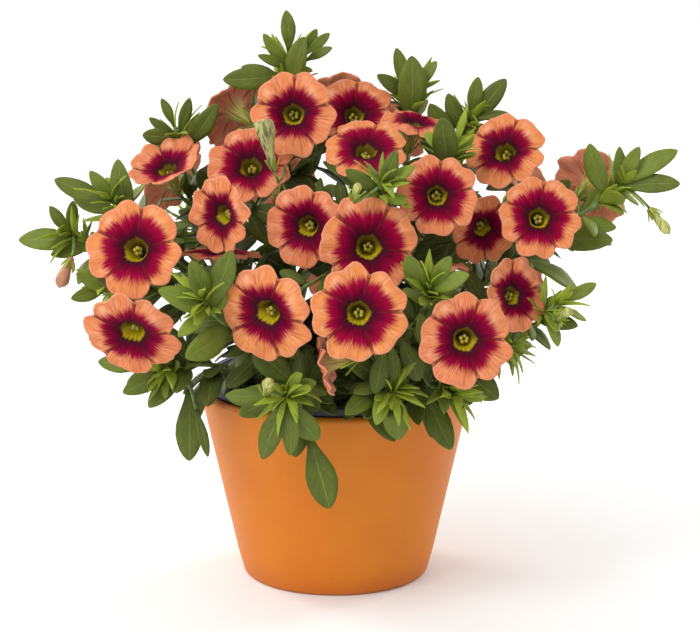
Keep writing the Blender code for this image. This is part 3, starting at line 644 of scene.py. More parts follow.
Shoot = namedtuple("Shoot", "name across out up bearing pitch leaves tuft tuftLength")
shoots = [Shoot(f"shoot_{name}", *numbers) for name, *numbers in (
    ("crown", -18, 2, 210, -10, 84, 3, 0, 17),
    ("crown_right", 30, -2, 197, 20, 78, 3, 1, 16),
    ("right_top", 54, 4, 190, 40, 70, 3, 1, 17),
    ("left_top", -63, 6, 183, -50, 66, 3, 1, 15),
    ("left_mid", -87, 37, 162, -55, 58, 4, 1, 16),
    ("left_far", -107, 21, 145, -78, 34, 4, 2, 16),
    ("left_low", -90, 34, 126, -66, 4, 4, 2, 14),
    ("front_left", -50, 84, 134, -28, 56, 4, 2, 17),
    ("centre", 18, 68, 174, 4, 42, 3, 2, 16),
    ("front_right", 36, 82, 138, 8, 62, 3, 2, 16),
    ("right_high", 46, 42, 184, 10, 64, 4, 2, 15),
    ("right_front", 86, 56, 124, 62, 40, 4, 2, 16),
    ("right_far", 113, 23, 165, 70, 44, 4, 1, 16),
    ("front_low", -18, 85, 95, -12, -14, 4, 2, 16),
    ("front_low_right", 22, 78, 94, 12, -16, 4, 2, 15),
    ("right_low", 46, 64, 90, 40, -14, 4, 2, 14),
    ("left_bottom", -68, 48, 95, -50, -12, 4, 1, 15),
    ("right_bottom", 68, 44, 105, 58, -8, 4, 2, 16),
    ("back_left", -62, -66, 130, -138, 30, 5, 2, 16),
    ("back", 8, -88, 150, 176, 44, 5, 2, 16),
    ("back_right", 62, -72, 122, 138, 24, 5, 2, 16),
    ("back_low", -28, -84, 96, -160, -14, 5, 2, 15),
)]

# leaves of the outline by shoot: tip (across, out, up) and width
keyLeaves = {
    "shoot_crown": (
        (-19, 4, 229, 6), (-28, 6, 220, 5), (-30, 8, 212, 4), (-2, 4, 220, 4), (-1, 8, 215, 4),
        (-12, 14, 220, 9), (-7, 0, 221, 5), (-44, 6, 202, 9), (-37, 0, 206, 7),
    ),
    "shoot_crown_right": ((30, 4, 211, 12), (24, -4, 213, 6), (40, -2, 208, 5), (16, 6, 204, 6)),
    "shoot_right_top": (
        (67, 4, 202, 8), (56, 6, 203, 6), (44, 6, 197, 7), (68, 8, 189, 4), (37, 10, 193, 9),
    ),
    "shoot_left_top": (
        (-68, 8, 195, 4), (-73, 6, 187, 4), (-57, 6, 195, 5), (-46, 10, 193, 8), (-81, 10, 177, 7),
    ),
    "shoot_left_mid": ((-83, 40, 177, 9), (-94, 38, 172, 6), (-108, 34, 168, 8), (-101, 30, 160, 7)),
    "shoot_left_far": (
        (-124, 20, 141, 9), (-111, 22, 155, 5), (-102, 22, 157, 5), (-111, 26, 136, 6),
    ),
    "shoot_left_low": ((-102, 40, 122, 6), (-100, 40, 132, 9)),
    "shoot_left_bottom": (
        (-81, 44, 89, 10), (-72, 50, 81, 8), (-82, 50, 87, 8), (-57, 44, 58, 11), (-92, 40, 97, 7),
    ),
    "shoot_front_left": (
        (-65, 88, 137, 9), (-38, 84, 151, 9), (-39, 92, 119, 10), (-56, 88, 111, 11), (-53, 88, 148, 8),
    ),
    "shoot_front_right": ((27, 88, 150, 8), (43, 88, 150, 6), (50, 88, 143, 7)),
    "shoot_front_low": ((-2, 78, 49, 12), (-27, 86, 71, 9), (-17, 84, 72, 7), (-41, 86, 96, 6)),
    "shoot_front_low_right": ((23, 66, 72, 12),),
    "shoot_right_low": ((45, 60, 67, 10),),
    "shoot_right_bottom": ((64, 40, 82, 13), (76, 36, 103, 12)),
    "shoot_right_front": ((100, 52, 131, 5), (93, 54, 115, 7), (80, 62, 142, 8)),
    "shoot_right_far": (
        (133, 22, 177, 8), (134, 26, 164, 8), (118, 24, 179, 6), (98, 30, 181, 9), (110, 24, 179, 5),
        (108, 30, 143, 10), (110, 20, 146, 7),
    ),
    "shoot_right_high": ((40, 52, 196, 10),),
    "shoot_centre": ((4, 70, 179, 6), (23, 68, 186, 6)),
}

stems = {
    "baseRadius": 1.4 * mm,
    "tipRadius": 0.8 * mm,
    "stations": 7,
    "rootInner": 8 * mm,
    "rootOuter": 29 * mm,
    "lowestTip": 88 * mm,
    "highestTip": 210 * mm,
    "soil": 70 * mm,
    "socket": 7 * mm,
    "gap": 0.35 * mm,
    "tries": 60,
    "wanders": 12,
    "stalkRadius": 0.7 * mm,
    "stalkStations": 4,
    "stalkPulls": (0.9, 0.5, 1.4),
}
leafRule = {
    "thickness": 0.65 * mm,
    "turn": math.radians(137.5),
    "firstShare": 0.34,
    "lastShare": 0.92,
    "length": (20, 27),
    "widthShare": (0.34, 0.42),
    "lean": (50, 78),
    "sag": 0.12,
    "tuftShares": (0.94, 0.055),
    "tuftWidthShare": (0.26, 0.34),
    "tuftLeans": (62, 38),
    "slenderness": 2.9,
    "shortest": 13 * mm,
    "longest": 29 * mm,
    "tries": 14,
    "upturn": 0.7,
    "crowding": 1.7,  # rows of the grid stand closer towards the blunt tip
    "photoPitch": 14,
    "fine": 0.42 * mm,  # thickness of the blades shown
    # width at the foot, where it starts to widen, where it is widest, bow and point of the tip
    "shape": (0.13, -0.04, 0.57, 2.0, 0.68),
    "youngShape": (0.2, -0.1, 0.42, 1.7, 1.0),
    "slot": 0,
}


def hermite(start, startPull, end, endPull, count):
    return [cubic(start, startPull, end, endPull, i / (count - 1)) for i in range(count)]


def lengthOf(route):
    return sum((b - a).length for a, b in zip(route, route[1:]))


def stemRoute(row, draw, attempt):
    tip = place(row)
    wander = 0.05 + 0.04 * attempt
    bearing = math.atan2(tip.x, -tip.y) + draw.uniform(-wander, wander)
    height = min(1, max(0, (tip.z - stems["lowestTip"]) / (stems["highestTip"] - stems["lowestTip"])))
    radius = stems["rootOuter"] + (stems["rootInner"] - stems["rootOuter"]) * height
    radius *= 1 + draw.uniform(-wander, wander) * 0.5
    foot = Vector((
        math.sin(bearing) * radius,
        -math.cos(bearing) * radius,
        stems["soil"] - stems["socket"] + stems["gap"],
    ))
    reach = (tip - foot).length
    lean = facing(math.degrees(bearing), 68 + draw.uniform(-8, 8))
    pull = reach * (1.0 + draw.uniform(-0.25, 0.35))
    entry = facing(row.bearing, row.pitch) * reach * (0.7 + draw.uniform(-0.2, 0.2))
    top = foot + Vector((0, 0, stems["socket"] + 2 * mm))
    return [foot] + hermite(top, lean * pull, tip, entry, stems["stations"])


def along(route, share):
    lengths = [(b - a).length for a, b in zip(route, route[1:])]
    left = share * sum(lengths)
    for (a, b), length in zip(zip(route, route[1:]), lengths):
        if left <= length or b is route[-1]:
            return a.lerp(b, min(1, left / length)), (b - a).normalized()
        left -= length


class Solid:
    # the corners of a CAD node, to ask whether the solid has one at a place
    def __init__(self, name):
        verts = nodes[name].data.vertices
        self.tree = KDTree(len(verts))
        for i, v in enumerate(verts):
            self.tree.insert(v.co, i)
        self.tree.balance()

    def has(self, point, near=0.02 * mm):
        return self.tree.find(point)[2] < near


def carried(route):
    # each point with its direction and a side that doesn't twist on the way
    side = None
    for i, centre in enumerate(route):
        ahead = (route[min(i + 1, len(route) - 1)] - route[max(i - 1, 0)]).normalized()
        if side is None:
            side = acrossPair(ahead)[0]
        side = (side - ahead * side.dot(ahead)).normalized()
        yield centre, ahead, side


def sectionPoint(route, radius):
    # a corner of the solid tube's last ring
    centre, ahead, side = list(carried(route))[-1]
    return centre + side * radius


def findStem(row, solid):
    draw = random.Random(f"{seed} stem {row.name}")
    for attempt in range(stems["tries"]):
        route = stemRoute(row, draw, attempt % stems["wanders"])
        if solid.has(route[0], 2 * mm) and solid.has(sectionPoint(route, stems["tipRadius"])):
            return route
    print("no stem found for", row.name)
    return route


def tubeFoot(row):
    axis = facing(row.bearing, row.pitch)
    return place(row) - axis * (petals["tubeLength"] + stems["gap"]), -axis


def findStalk(row, routes, solids):
    foot, away = tubeFoot(row)
    choices = []
    for name, route in routes.items():
        for step in range(30, 98, 3):
            point, ahead = along(route, step / 100)
            choices.append(((point - foot).length, name, point, ahead))
    choices.sort(key=lambda c: (c[0], c[1]))
    thick, stations = stems["stalkRadius"], stems["stalkStations"]
    for distance, name, point, ahead in choices:
        for pull in stems["stalkPulls"]:
            route = hermite(foot, away * distance * pull, point, -ahead * distance * 0.4, stations)
            across = acrossPair((route[1] - route[0]).normalized())[0]
            if solids[name].has(route[0] + across * thick * 1.5):
                second = (route[2] - route[0]).normalized()
                across = (across - second * across.dot(second)).normalized()
                if solids[name].has(route[1] + across * thick * (1.5 - 0.5 / 3), 0.05 * mm):
                    return name, route
    print("no stalk found for", row.name)
    return None, None


Blade = namedtuple("Blade", "base tip width arch roll large tuft")


def bladeAxes(base, tip):
    ahead = (tip - base).normalized()
    side, face = acrossPair(ahead)
    if face.z < 0:
        side, face = -side, -face
    return ahead, side, face


def rollTo(base, tip, way):
    # the roll that turns a blade's upper face as far as it goes to a direction
    ahead, side, face = bladeAxes(base, tip)
    return math.atan2(-side.dot(way), face.dot(way))


def rollOut(base, tip):
    return rollTo(base, tip, Vector((tip.x, tip.y, 0)).normalized() + Vector((0, 0, leafRule["upturn"])))


def bladeFrame(blade):
    ahead, side, face = bladeAxes(blade.base, blade.tip)
    return ahead, *turnedPair(side, face, blade.roll)


def bladeStands(blade, solid):
    ahead, side, face = bladeFrame(blade)
    return solid.has(blade.tip + face * leafRule["thickness"] / 2)


def leafRoot(route, tip, length):
    points = [along(route, step / 100)[0] for step in range(35, 99, 2)]
    return min(points, key=lambda p: (abs((tip - p).length - length), p.z))


def leafBase(root, spot, length):
    # on the stem, or at the end of a twig where the stem is too far away
    reach = (spot - root).length
    return root if reach < length * 1.25 else spot.lerp(root, length / reach)


def twigTo(root, base):
    return [] if base is root else [[root, root.lerp(base, 0.5), base.lerp(root, -0.05)]]


def nearby(spot, spread, draw):
    return spot + Vector([draw.uniform(-spread, spread) for _ in range(3)])


def findKeyBlades(row, route, solid):
    found, twigs = [], []
    draw = random.Random(f"{seed} key {row.name}")
    for across, out, up, width in keyLeaves.get(row.name, ()):
        spot = spotOf(across, out, up)
        length = min(leafRule["longest"], max(leafRule["shortest"], width * mm * leafRule["slenderness"]))
        root = leafRoot(route, spot, length)
        base = leafBase(root, spot, length)
        for attempt in range(leafRule["tries"]):
            tip = nearby(spot, attempt * 0.9 * mm, draw)
            arch = draw.uniform(0.02, 0.12)
            roll = rollTo(base, tip, facing(0, leafRule["photoPitch"]))
            roll += draw.uniform(-0.4, 0.4) * (1 + attempt * 0.1)
            blade = Blade(base, tip, width * mm, arch, roll, True, False)
            if bladeStands(blade, solid):
                found.append(blade)
                twigs += twigTo(root, base)
                break
    return found, twigs


def findBlades(row, route, solid):
    found = []
    draw = random.Random(f"{seed} leaves {row.name}")
    first, last = leafRule["firstShare"], leafRule["lastShare"]
    for i in range(row.leaves + row.tuft):
        large = i < row.leaves
        if large:
            share = first + (last - first) * i / row.leaves
            length = draw.uniform(*leafRule["length"]) * mm
            width = length * draw.uniform(*leafRule["widthShare"])
            spread = math.radians(draw.uniform(*leafRule["lean"]))
        else:
            k = (i - row.leaves) / max(1, row.tuft - 1)
            share = leafRule["tuftShares"][0] + leafRule["tuftShares"][1] * k
            length = row.tuftLength * mm * (1 - 0.35 * k)
            width = length * draw.uniform(*leafRule["tuftWidthShare"])
            spread = math.radians(leafRule["tuftLeans"][0] - leafRule["tuftLeans"][1] * k)
        base, ahead = along(route, share)
        side, rise = acrossPair(ahead)
        for attempt in range(leafRule["tries"]):
            turn = i * leafRule["turn"] + draw.uniform(-0.2, 0.2) + attempt * 0.45
            direction = around(ahead, around(side, rise, turn), spread * (1 - 0.04 * attempt))
            tip = base + direction * length * (1 - 0.03 * attempt)
            if large:
                tip.z -= length * leafRule["sag"]
            arch = draw.uniform(0.04, 0.13)
            roll = draw.uniform(-0.35, 0.35) + (rollOut(base, tip) if large else 0)
            blade = Blade(base, tip, width, arch, roll, large, not large)
            if bladeStands(blade, solid):
                found.append(blade)
                break
    return found


def leafWidth(s, young=False):
    # narrow foot, widest past the middle, blunt point; a young leaf is a lance
    foot, start, widest, bow, point = leafRule["youngShape" if young else "shape"]
    if s < widest:
        return foot + (1 - foot) * smoothStep(start, widest, s)
    return max(0.0, 1 - ((s - widest) / (1 - widest)) ** bow) ** point


def addBlade(bm, layers, blade, cells, tones, draw, wave=1.0):
    # a grid bent into a leaf: folded along its rib, arched, a little twisted
    uvs, tone = layers
    across, length = cells
    verts = bmesh.ops.create_grid(bm, x_segments=across, y_segments=length, size=0.5)["verts"]
    ahead, side, face = bladeFrame(blade)
    span = (blade.tip - blade.base).length
    fold = draw.uniform(0.10, 0.30)
    curl = draw.uniform(-0.03, 0.06)
    twist = draw.uniform(-0.25, 0.25)
    phase = draw.uniform(*anyTurn)
    spots = {v: (v.co.x * 2, 1 - (0.5 - v.co.y) ** leafRule["crowding"]) for v in verts}
    for v, (u, s) in spots.items():
        half = blade.width / 2 * leafWidth(s, blade.tuft) * u
        reach, up = turnedPair(side, face, twist * (s - 0.3) * wave)
        lift = blade.arch * 4 * s * (1 - s) * span + curl * span * s * s * s
        cup = fold * abs(half) * (1 - 0.6 * s)
        ruffle = math.sin(s * 11 + phase + u) * 0.03 * abs(half) * 2 * wave
        v.co = blade.base + ahead * span * s + face * lift + reach * half + up * (cup + ruffle)
        v[tone] = (*tones, 1)
    faces = {f for v in verts for f in v.link_faces}
    for f in faces:
        f.material_index = leafRule["slot"]
        for loop in f.loops:
            u, s = spots[loop.vert]
            loop[uvs].uv = (0.5 + u * 0.48, 0.01 + s * 0.98)
    return faces


def addTube(bm, route, radii, sides, index):
    # rings carried along the route and bridged one after another
    last, first = None, None
    for (centre, ahead, side), radius in zip(carried(route), radii):
        turn = Matrix((side, ahead.cross(side), ahead)).transposed().to_4x4()
        spot = Matrix.Translation(centre) @ turn
        ring = bmesh.ops.create_circle(bm, segments=sides, radius=radius, matrix=spot)
        edges = list({e for v in ring["verts"] for e in v.link_edges})
        first = first or edges
        if last:
            for f in bmesh.ops.bridge_loops(bm, edges=last + edges)["faces"]:
                f.material_index = index
        last = edges
    for end in (first, last):
        for f in bmesh.ops.contextual_create(bm, geom=end)["faces"]:
            f.material_index = index


def resample(route, count):
    # a finer smooth run through a few points
    found = []
    last = len(route) - 1
    for k in range(count):
        t = k / (count - 1) * last
        i = min(int(t), last - 1)
        p0, p1 = route[max(i - 1, 0)], route[i]
        p2, p3 = route[i + 1], route[min(i + 2, last)]
        found.append(cubic(p1, (p2 - p0) / 2, p2, (p3 - p1) / 2, t - i))
    return found


def tapered(start, end, count):
    return [start + (end - start) * i / (count - 1) for i in range(count)]


# what the shoots carry beside the solid's own leaves

budRows = (
    # shoot, base (across, out, up), tip, widest radius, kind
    ("shoot_right_far", (122, 26, 155), (130, 28, 145), 2.1, "bud"),
    ("shoot_front_low", (-26, 92, 98), (-24, 96, 105), 2.1, "bud"),
    ("shoot_right_front", (84, 62, 119), (90, 64, 124), 1.8, "bud"),
    ("shoot_centre", (7, 74, 168), (9, 76, 175), 1.6, "bud"),
    ("shoot_crown", (-23, 53, 175), (-27, 53, 194), 3.6, "furled"),
    ("shoot_left_far", (-102, 34, 137), (-107, 38, 126), 2.6, "spent"),
    ("shoot_back", (14, -90, 160), (18, -95, 168), 1.8, "bud"),
    ("shoot_back_left", (-72, -66, 136), (-78, -72, 142), 1.7, "bud"),
)

budLook = {
    "sides": 15,
    "rings": 9,
    "pleat": 0.12,  # how deep the folded petals show
    "twist": 1.1,
    "bud": ((0.0, 0.45), (0.25, 0.62), (0.6, 0.95), (0.8, 1.0), (0.93, 0.62), (1.0, 0.12)),
    "furled": ((0.0, 0.34), (0.3, 0.46), (0.6, 0.74), (0.85, 1.0), (1.0, 0.92)),
    "slots": {"bud": 2, "spent": 4, "furled": 5},
}


def addBud(bm, base, tip, radius, kind):
    span = tip - base
    ahead = span.normalized()
    side, rise = acrossPair(ahead)
    keys = budLook["furled" if kind == "furled" else "bud"]
    steps = [k / budLook["rings"] for k in range(budLook["rings"] + 1)]
    faces = spun(bm, [(alongCurve(keys, s) * radius, s * span.length) for s in steps], budLook["sides"])
    ends = [e for f in faces for e in f.edges if e.is_boundary]
    for z in (0, span.length):
        ring = list({e for e in ends if all(abs(v.co.z - z) < 1e-6 for v in e.verts)})
        faces += bmesh.ops.contextual_create(bm, geom=ring)["faces"]
    for v in {v for f in faces for v in f.verts}:
        turn = math.atan2(v.co.y, v.co.x)
        share = v.co.z / span.length
        pleats = math.cos(petals["seams"] * (turn + budLook["twist"] * share))
        reach = math.hypot(v.co.x, v.co.y) * (1 + budLook["pleat"] * pleats * smoothStep(0.2, 0.7, share))
        v.co = base + around(side, rise, turn) * reach + ahead * v.co.z
    for f in faces:
        f.material_index = budLook["slots"][kind]
    bmesh.ops.recalc_face_normals(bm, faces=faces)


def addHairs(bm, route, radii, count, draw, index):
    # short glandular hairs, seen against the light on the outer stems
    for _ in range(count):
        share = draw.uniform(0.25, 0.99)
        point, ahead = along(route, share)
        out = around(*acrossPair(ahead), draw.uniform(*anyTurn))
        radius = radii[0] + (radii[-1] - radii[0]) * share
        length = draw.uniform(0.5, 1.0) * mm
        aim = (out + ahead * draw.uniform(-0.2, 0.5)).normalized()
        where = Matrix.Translation(point + out * (radius * 0.9) + aim * length / 2)
        cone = bmesh.ops.create_cone(
            bm, cap_ends=True, segments=3, radius1=0.06 * mm, radius2=0.015 * mm, depth=length,
            matrix=where @ aim.to_track_quat("Z", "Y").to_matrix().to_4x4(),
        )
        paint(cone["verts"], index)


def sepals(base, axis, draw, length=8.5, width=1.9, lean=30):
    side, rise = acrossPair(axis)
    start = draw.uniform(*anyTurn)
    found = []
    for i in range(petals["seams"]):
        out = around(side, rise, start + fullTurn * i / petals["seams"])
        way = around(axis, out, math.radians(lean + draw.uniform(-6, 8)))
        foot = base + out * 0.8 * mm
        tip = foot + way * length * mm * draw.uniform(0.85, 1.1)
        found.append(Blade(foot, tip, width * mm, 0.03, 0.0, False, False))
    return found


class Crowd:
    # what stands already, so that an added leaf doesn't cut through it
    def __init__(self):
        self.standing = []
        for name, node in nodes.items():
            points = [v.co.copy() for v in node.data.vertices]
            tree = BVHTree.FromPolygons(points, [tuple(p.vertices) for p in node.data.polygons])
            self.standing.append((tree, *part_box(name)))

    def outline(self, blade, start):
        ahead, side, face = bladeFrame(blade)
        span = blade.tip - blade.base
        points = []
        for share in (start, 0.55, 0.8):
            lift = face * blade.arch * 4 * share * (1 - share) * span.length
            centre = blade.base + span * share + lift
            half = side * blade.width / 2 * leafWidth(share) * 1.1
            points += [centre - half, centre + half]
        points.append(blade.tip)
        return points, [(0, 1, 3, 2), (2, 3, 5, 4), (4, 5, 6)]

    def take(self, blade, start=0.3):
        points, faces = self.outline(blade, start)
        low = [min(p[i] for p in points) for i in range(3)]
        high = [max(p[i] for p in points) for i in range(3)]
        if any(low[i] < cadBox[0][i] - 2 * mm or high[i] > cadBox[1][i] + 2 * mm for i in range(3)):
            return False
        tree = BVHTree.FromPolygons(points, faces)
        for other, otherLow, otherHigh in self.standing:
            apart = any(low[i] > otherHigh[i] or high[i] < otherLow[i] for i in range(3))
            if not apart and tree.overlap(other):
                return False
        self.standing.append((tree, low, high))
        return True


# leaves strewn along stems, round their tips and along stalks; each pair is a range that is drawn from
Strewn = namedtuple("Strewn", "length full taper shrink turn spread lean way sag width roll out arch start")
strewn = {
    "stem": Strewn(
        (15, 29), 1.05, 0.45, 0.05, 0, (0, fullTurn), (38, 80), 1, 0.1,
        (0.34, 0.46), (-0.5, 0.5), 1, (0.03, 0.12), 0.3,
    ),
    "tuft": Strewn(
        (9, 18), 1, 0, 0.05, leafRule["turn"], (-0.5, 0.5), (24, 72), 1, 0,
        (0.17, 0.25), (-0.3, 0.3), 0.6, (0.03, 0.1), 0.5,
    ),
    "stalk": Strewn(
        (12, 24), 1, 0, 0.06, 0, (0, fullTurn), (45, 95), -1, 0,
        (0.32, 0.44), (-0.5, 0.5), 1, (0.03, 0.12), 0.3,
    ),
}
extraRule = {
    "first": 0.16,
    "last": 0.97,
    "spacing": 2.5 * mm,
    "tries": 8,
    "tuft": 18,  # narrow young leaves round each tip
    "stalkSpacing": 6 * mm,
    "large": 15 * mm,  # a longer leaf has the finer grid
    "skirtTries": 16,
    "skirtLength": (20, 28),
}

# leaves that hang over the rim in front, by shoot: tip (across, out, up) and width
skirtLeaves = {
    "shoot_front_low": ((-6, 78, 76, 10), (-36, 80, 86, 9), (-13, 84, 83, 8), (-40, 74, 91, 9)),
    "shoot_front_low_right": (
        (26, 70, 73, 10), (29, 72, 89, 9), (11, 80, 85, 10), (4, 84, 88, 8), (19, 82, 91, 9),
    ),
    "shoot_right_low": ((32, 66, 79, 7), (40, 60, 85, 9)),
    "shoot_left_bottom": ((-49, 58, 84, 9), (-49, 56, 63, 4), (-62, 60, 88, 9)),
}


def strew(kind, draw, route, shares, crowd):
    # leaves that are tried one after another until each one finds room
    rule, found = strewn[kind], []
    for i, share in enumerate(shares):
        base, ahead = along(route, share)
        side, rise = acrossPair(ahead)
        for attempt in range(extraRule["tries"]):
            long = draw.uniform(*rule.length) * mm * (rule.full - rule.taper * share)
            long *= 1 - rule.shrink * attempt
            out = around(side, rise, i * rule.turn + draw.uniform(*rule.spread))
            tip = base + around(ahead * rule.way, out, math.radians(draw.uniform(*rule.lean))) * long
            tip.z -= long * rule.sag
            if kind == "stem":  # here the width is drawn first
                width, roll = draw.uniform(*rule.width), draw.uniform(*rule.roll)
            else:
                roll, width = draw.uniform(*rule.roll), draw.uniform(*rule.width)
            roll += rollOut(base, tip) * rule.out
            tuft = kind == "tuft"
            large = long > extraRule["large"] and not tuft
            blade = Blade(base, tip, long * width, draw.uniform(*rule.arch), roll, large, tuft)
            if crowd.take(blade, rule.start):
                found.append((blade, share))
                break
    return found


def extraBlades(row, route, crowd):
    draw = random.Random(f"{seed} extra {row.name}")
    first, last = extraRule["first"], extraRule["last"]
    count = int(lengthOf(route) * (last - first) / extraRule["spacing"])
    shares = (first + (last - first) * (i + draw.random()) / count for i in range(count))
    found = strew("stem", draw, route, shares, crowd)
    shares = (draw.uniform(0.90, 0.995) for _ in range(extraRule["tuft"]))
    return found + strew("tuft", draw, route, shares, crowd)


def skirtBlades(row, route, crowd):
    draw = random.Random(f"{seed} skirt {row.name}")
    found, twigs = [], []
    for across, out, up, width in skirtLeaves.get(row.name, ()):
        spot = spotOf(across, out, up)
        for attempt in range(extraRule["skirtTries"]):
            length = draw.uniform(*extraRule["skirtLength"]) * mm
            root = leafRoot(route, spot, length)
            tip = nearby(spot, attempt * 0.8 * mm, draw)
            base = leafBase(root, tip, length)
            roll = rollTo(base, tip, facing(0, leafRule["photoPitch"])) + draw.uniform(-0.4, 0.4)
            blade = Blade(base, tip, width * mm, draw.uniform(*strewn["stem"].arch), roll, True, False)
            if crowd.take(blade):
                found.append((blade, 0.4))
                twigs += twigTo(root, base)
                break
    return found, twigs


def stalkBlades(name, stalk, crowd):
    draw = random.Random(f"{seed} stalk leaves {name}")
    count = int(lengthOf(stalk) / extraRule["stalkSpacing"])
    shares = (0.25 + 0.72 * (i + draw.random()) / count for i in range(count))
    return [(blade, 0.5) for blade, share in strew("stalk", draw, stalk, shares, crowd)]


def leafTones(blade, share, draw):
    # young at the tips and outside; painted shade makes the leaves inside the plant dark
    out = math.hypot(blade.tip.x, blade.tip.y) / (105 * mm)
    high = (blade.tip.z - 70 * mm) / (150 * mm)
    openToLight = min(1.0, max(0.0, max(out, high) - 0.35) / 0.65)
    # the young tint is painted down in the shade inside the plant too
    young = smoothStep(0.75, 1.0, share) * 0.7 + (0.3 if blade.tuft else 0.0)
    return min(1.0, young * (0.5 + 0.5 * openToLight) + draw.uniform(-0.08, 0.08)), draw.random(), openToLight


def makeShoot(row, route, blades, twigs, extras, stalks, finishes):
    draw = random.Random(f"{seed} dress {row.name}")
    bm = bmesh.new()
    layers = bm.loops.layers.uv.new("UVMap"), bm.verts.layers.float_color.new("tone")
    sheets = set()
    own = [(blade, 1.0 if blade.tuft else 0.7) for blade in blades]
    for leaves, grids in ((own, ((2, 7), (4, 9))), (extras, ((2, 6), (4, 8)))):
        for blade, share in leaves:
            sheets |= addBlade(bm, layers, blade, grids[blade.large], leafTones(blade, share, draw), draw)
    buds = [
        (spotOf(*base), spotOf(*tip), radius * mm, kind)
        for name, base, tip, radius, kind in budRows if name == row.name
    ]
    for name, stalk in stalks:
        foot, away = tubeFoot(next(bloom for bloom in blooms if bloom.name == name))
        for blade in sepals(foot, -away, draw):
            sheets |= addBlade(bm, layers, blade, (2, 3), (0.75, draw.random(), 0.9), draw, 0.3)
    for start, end, radius, kind in buds:
        for blade in sepals(start, (end - start).normalized(), draw, 5.5, 1.5, 24):
            sheets |= addBlade(bm, layers, blade, (2, 3), (0.8, draw.random(), 0.9), draw, 0.3)
    bm.normal_update()
    bmesh.ops.solidify(bm, geom=list(sheets), thickness=leafRule["fine"])

    stemSlot, hairSlot, thick = 1, 3, stems["stalkRadius"]
    fine = [route[0]] + resample(route[1:], 22)
    radii = tapered(stems["baseRadius"], stems["tipRadius"] * 0.75, len(fine))
    addTube(bm, fine, radii, 8, stemSlot)
    addHairs(bm, route, radii, 70, draw, hairSlot)
    for twig in twigs:
        addTube(bm, resample(twig, 5), tapered(thick * 1.3, thick * 0.9, 5), 6, stemSlot)
    for name, stalk in stalks:
        smooth = resample(stalk, 9)
        smooth[0] = smooth[0] + (smooth[0] - smooth[1]).normalized() * stems["gap"] * 2
        radii = tapered(thick * 1.3, thick * 0.8, 9)
        addTube(bm, smooth, radii, 6, stemSlot)
        addHairs(bm, smooth, radii, 12, draw, hairSlot)
    for start, end, radius, kind in buds:
        addBud(bm, start, end, radius, kind)
        near, ahead = min((along(route, k / 40) for k in range(20, 40)), key=lambda at: (at[0] - start).length)
        gap = (near - start).length
        way = hermite(start, (start - end).normalized() * gap, near, -ahead * gap * 0.5, 7)
        addTube(bm, way, tapered(0.55 * mm, 0.7 * mm, 7), 6, stemSlot)
    finishPiece(row.name, bm, finishes)


leafLook = {
    # painted shade: the colour of leaves deep inside the plant
    "dark": (0.041, 0.056, 0.009),
    "middle": (0.138, 0.180, 0.023),
    "young": (0.31, 0.39, 0.030),
    "rib": (0.27, 0.32, 0.10),
    "stem": (0.21, 0.29, 0.065),
    "stemShade": (0.10, 0.16, 0.035),
    "hair": (0.62, 0.66, 0.45),
    "bud": (0.56, 0.57, 0.17),
    "budStripe": (0.30, 0.31, 0.08),
    "spent": (0.42, 0.20, 0.10),
    "spentStripe": (0.52, 0.22, 0.12),
    "furled": (0.42, 0.40, 0.13),
    "furledStripe": (0.12, 0.10, 0.035),
}


def leafFinish():
    finish, net = newFinish("leaf")
    u, v, flat = net.parts(net.uv())
    young, kind, openToLight = net.tone()
    across = net.math("ABSOLUTE", u - 0.5)
    rib = net.ramp(across, 0.035, 0.008)
    wave = net.math("ABSOLUTE", net.math("FRACT", v * 7 - across * 5) - 0.5)
    veins = net.ramp(wave, 0.10, 0.02) * net.ramp(across, 0.46, 0.2, 0.0, 0.19)
    cloud = net.grain(net.spot(), 260, 4)
    # painted shade: leaves deep inside the plant take the dark colour, those in the open the middle one
    colour = net.mix(openToLight, leafLook["dark"], leafLook["middle"])
    colour = net.mix(young, colour, leafLook["young"])
    shade = net.ramp(cloud * 0.6 + kind * 0.4, 0.25, 0.75, 0.72, 1.25, "LINEAR")
    colour = net.one("HueSaturation", {"Value": shade, "Color": colour})
    net.surface({
        "Base Color": net.coats(colour, (rib * 0.5, leafLook["rib"]), (veins, leafLook["rib"])),
        "Roughness": net.ramp(cloud, 0.3, 0.7, 0.42, 0.62),
        "Specular IOR Level": 0.22,
        "Subsurface Weight": 0.06, "Subsurface Radius": (0.001, 0.002, 0.0005), "Subsurface Scale": 0.5,
        "Normal": net.bump(cloud * 0.5 - (rib * 0.9 + veins), 0.5, 0.5 * mm),
    })
    return finish


def grainFinish(name, under, over, mask, roughness, grain, bump):
    # one colour over another in grain, which also makes the relief
    finish, net = newFinish(name)
    vector = net.spot()
    if grain.get("stretch"):
        vector = net.one("VectorMath", {0: vector, 1: grain["stretch"]}, operation="MULTIPLY")
    value = net.grain(vector, grain["scale"], grain.get("detail", 3.0), grain.get("roughness", 0.55))
    net.surface({
        "Base Color": net.mix(net.ramp(value, *mask), under, over),
        "Roughness": roughness,
        "Normal": net.bump(value, *bump),
    })
    return finish


def stemFinish():
    shade, light = leafLook["stemShade"], leafLook["stem"]
    return grainFinish("stem", shade, light, (0.35, 0.65), 0.5, {"scale": 420}, (0.3, 0.4 * mm))


def fleckedFinish(name, base, stripe):
    grain = {"scale": 900, "stretch": (1, 1, 0.15)}
    return grainFinish(name, base, stripe, (0.42, 0.6), 0.55, grain, (0.4, 0.4 * mm))


# pot, grower's pot and soil

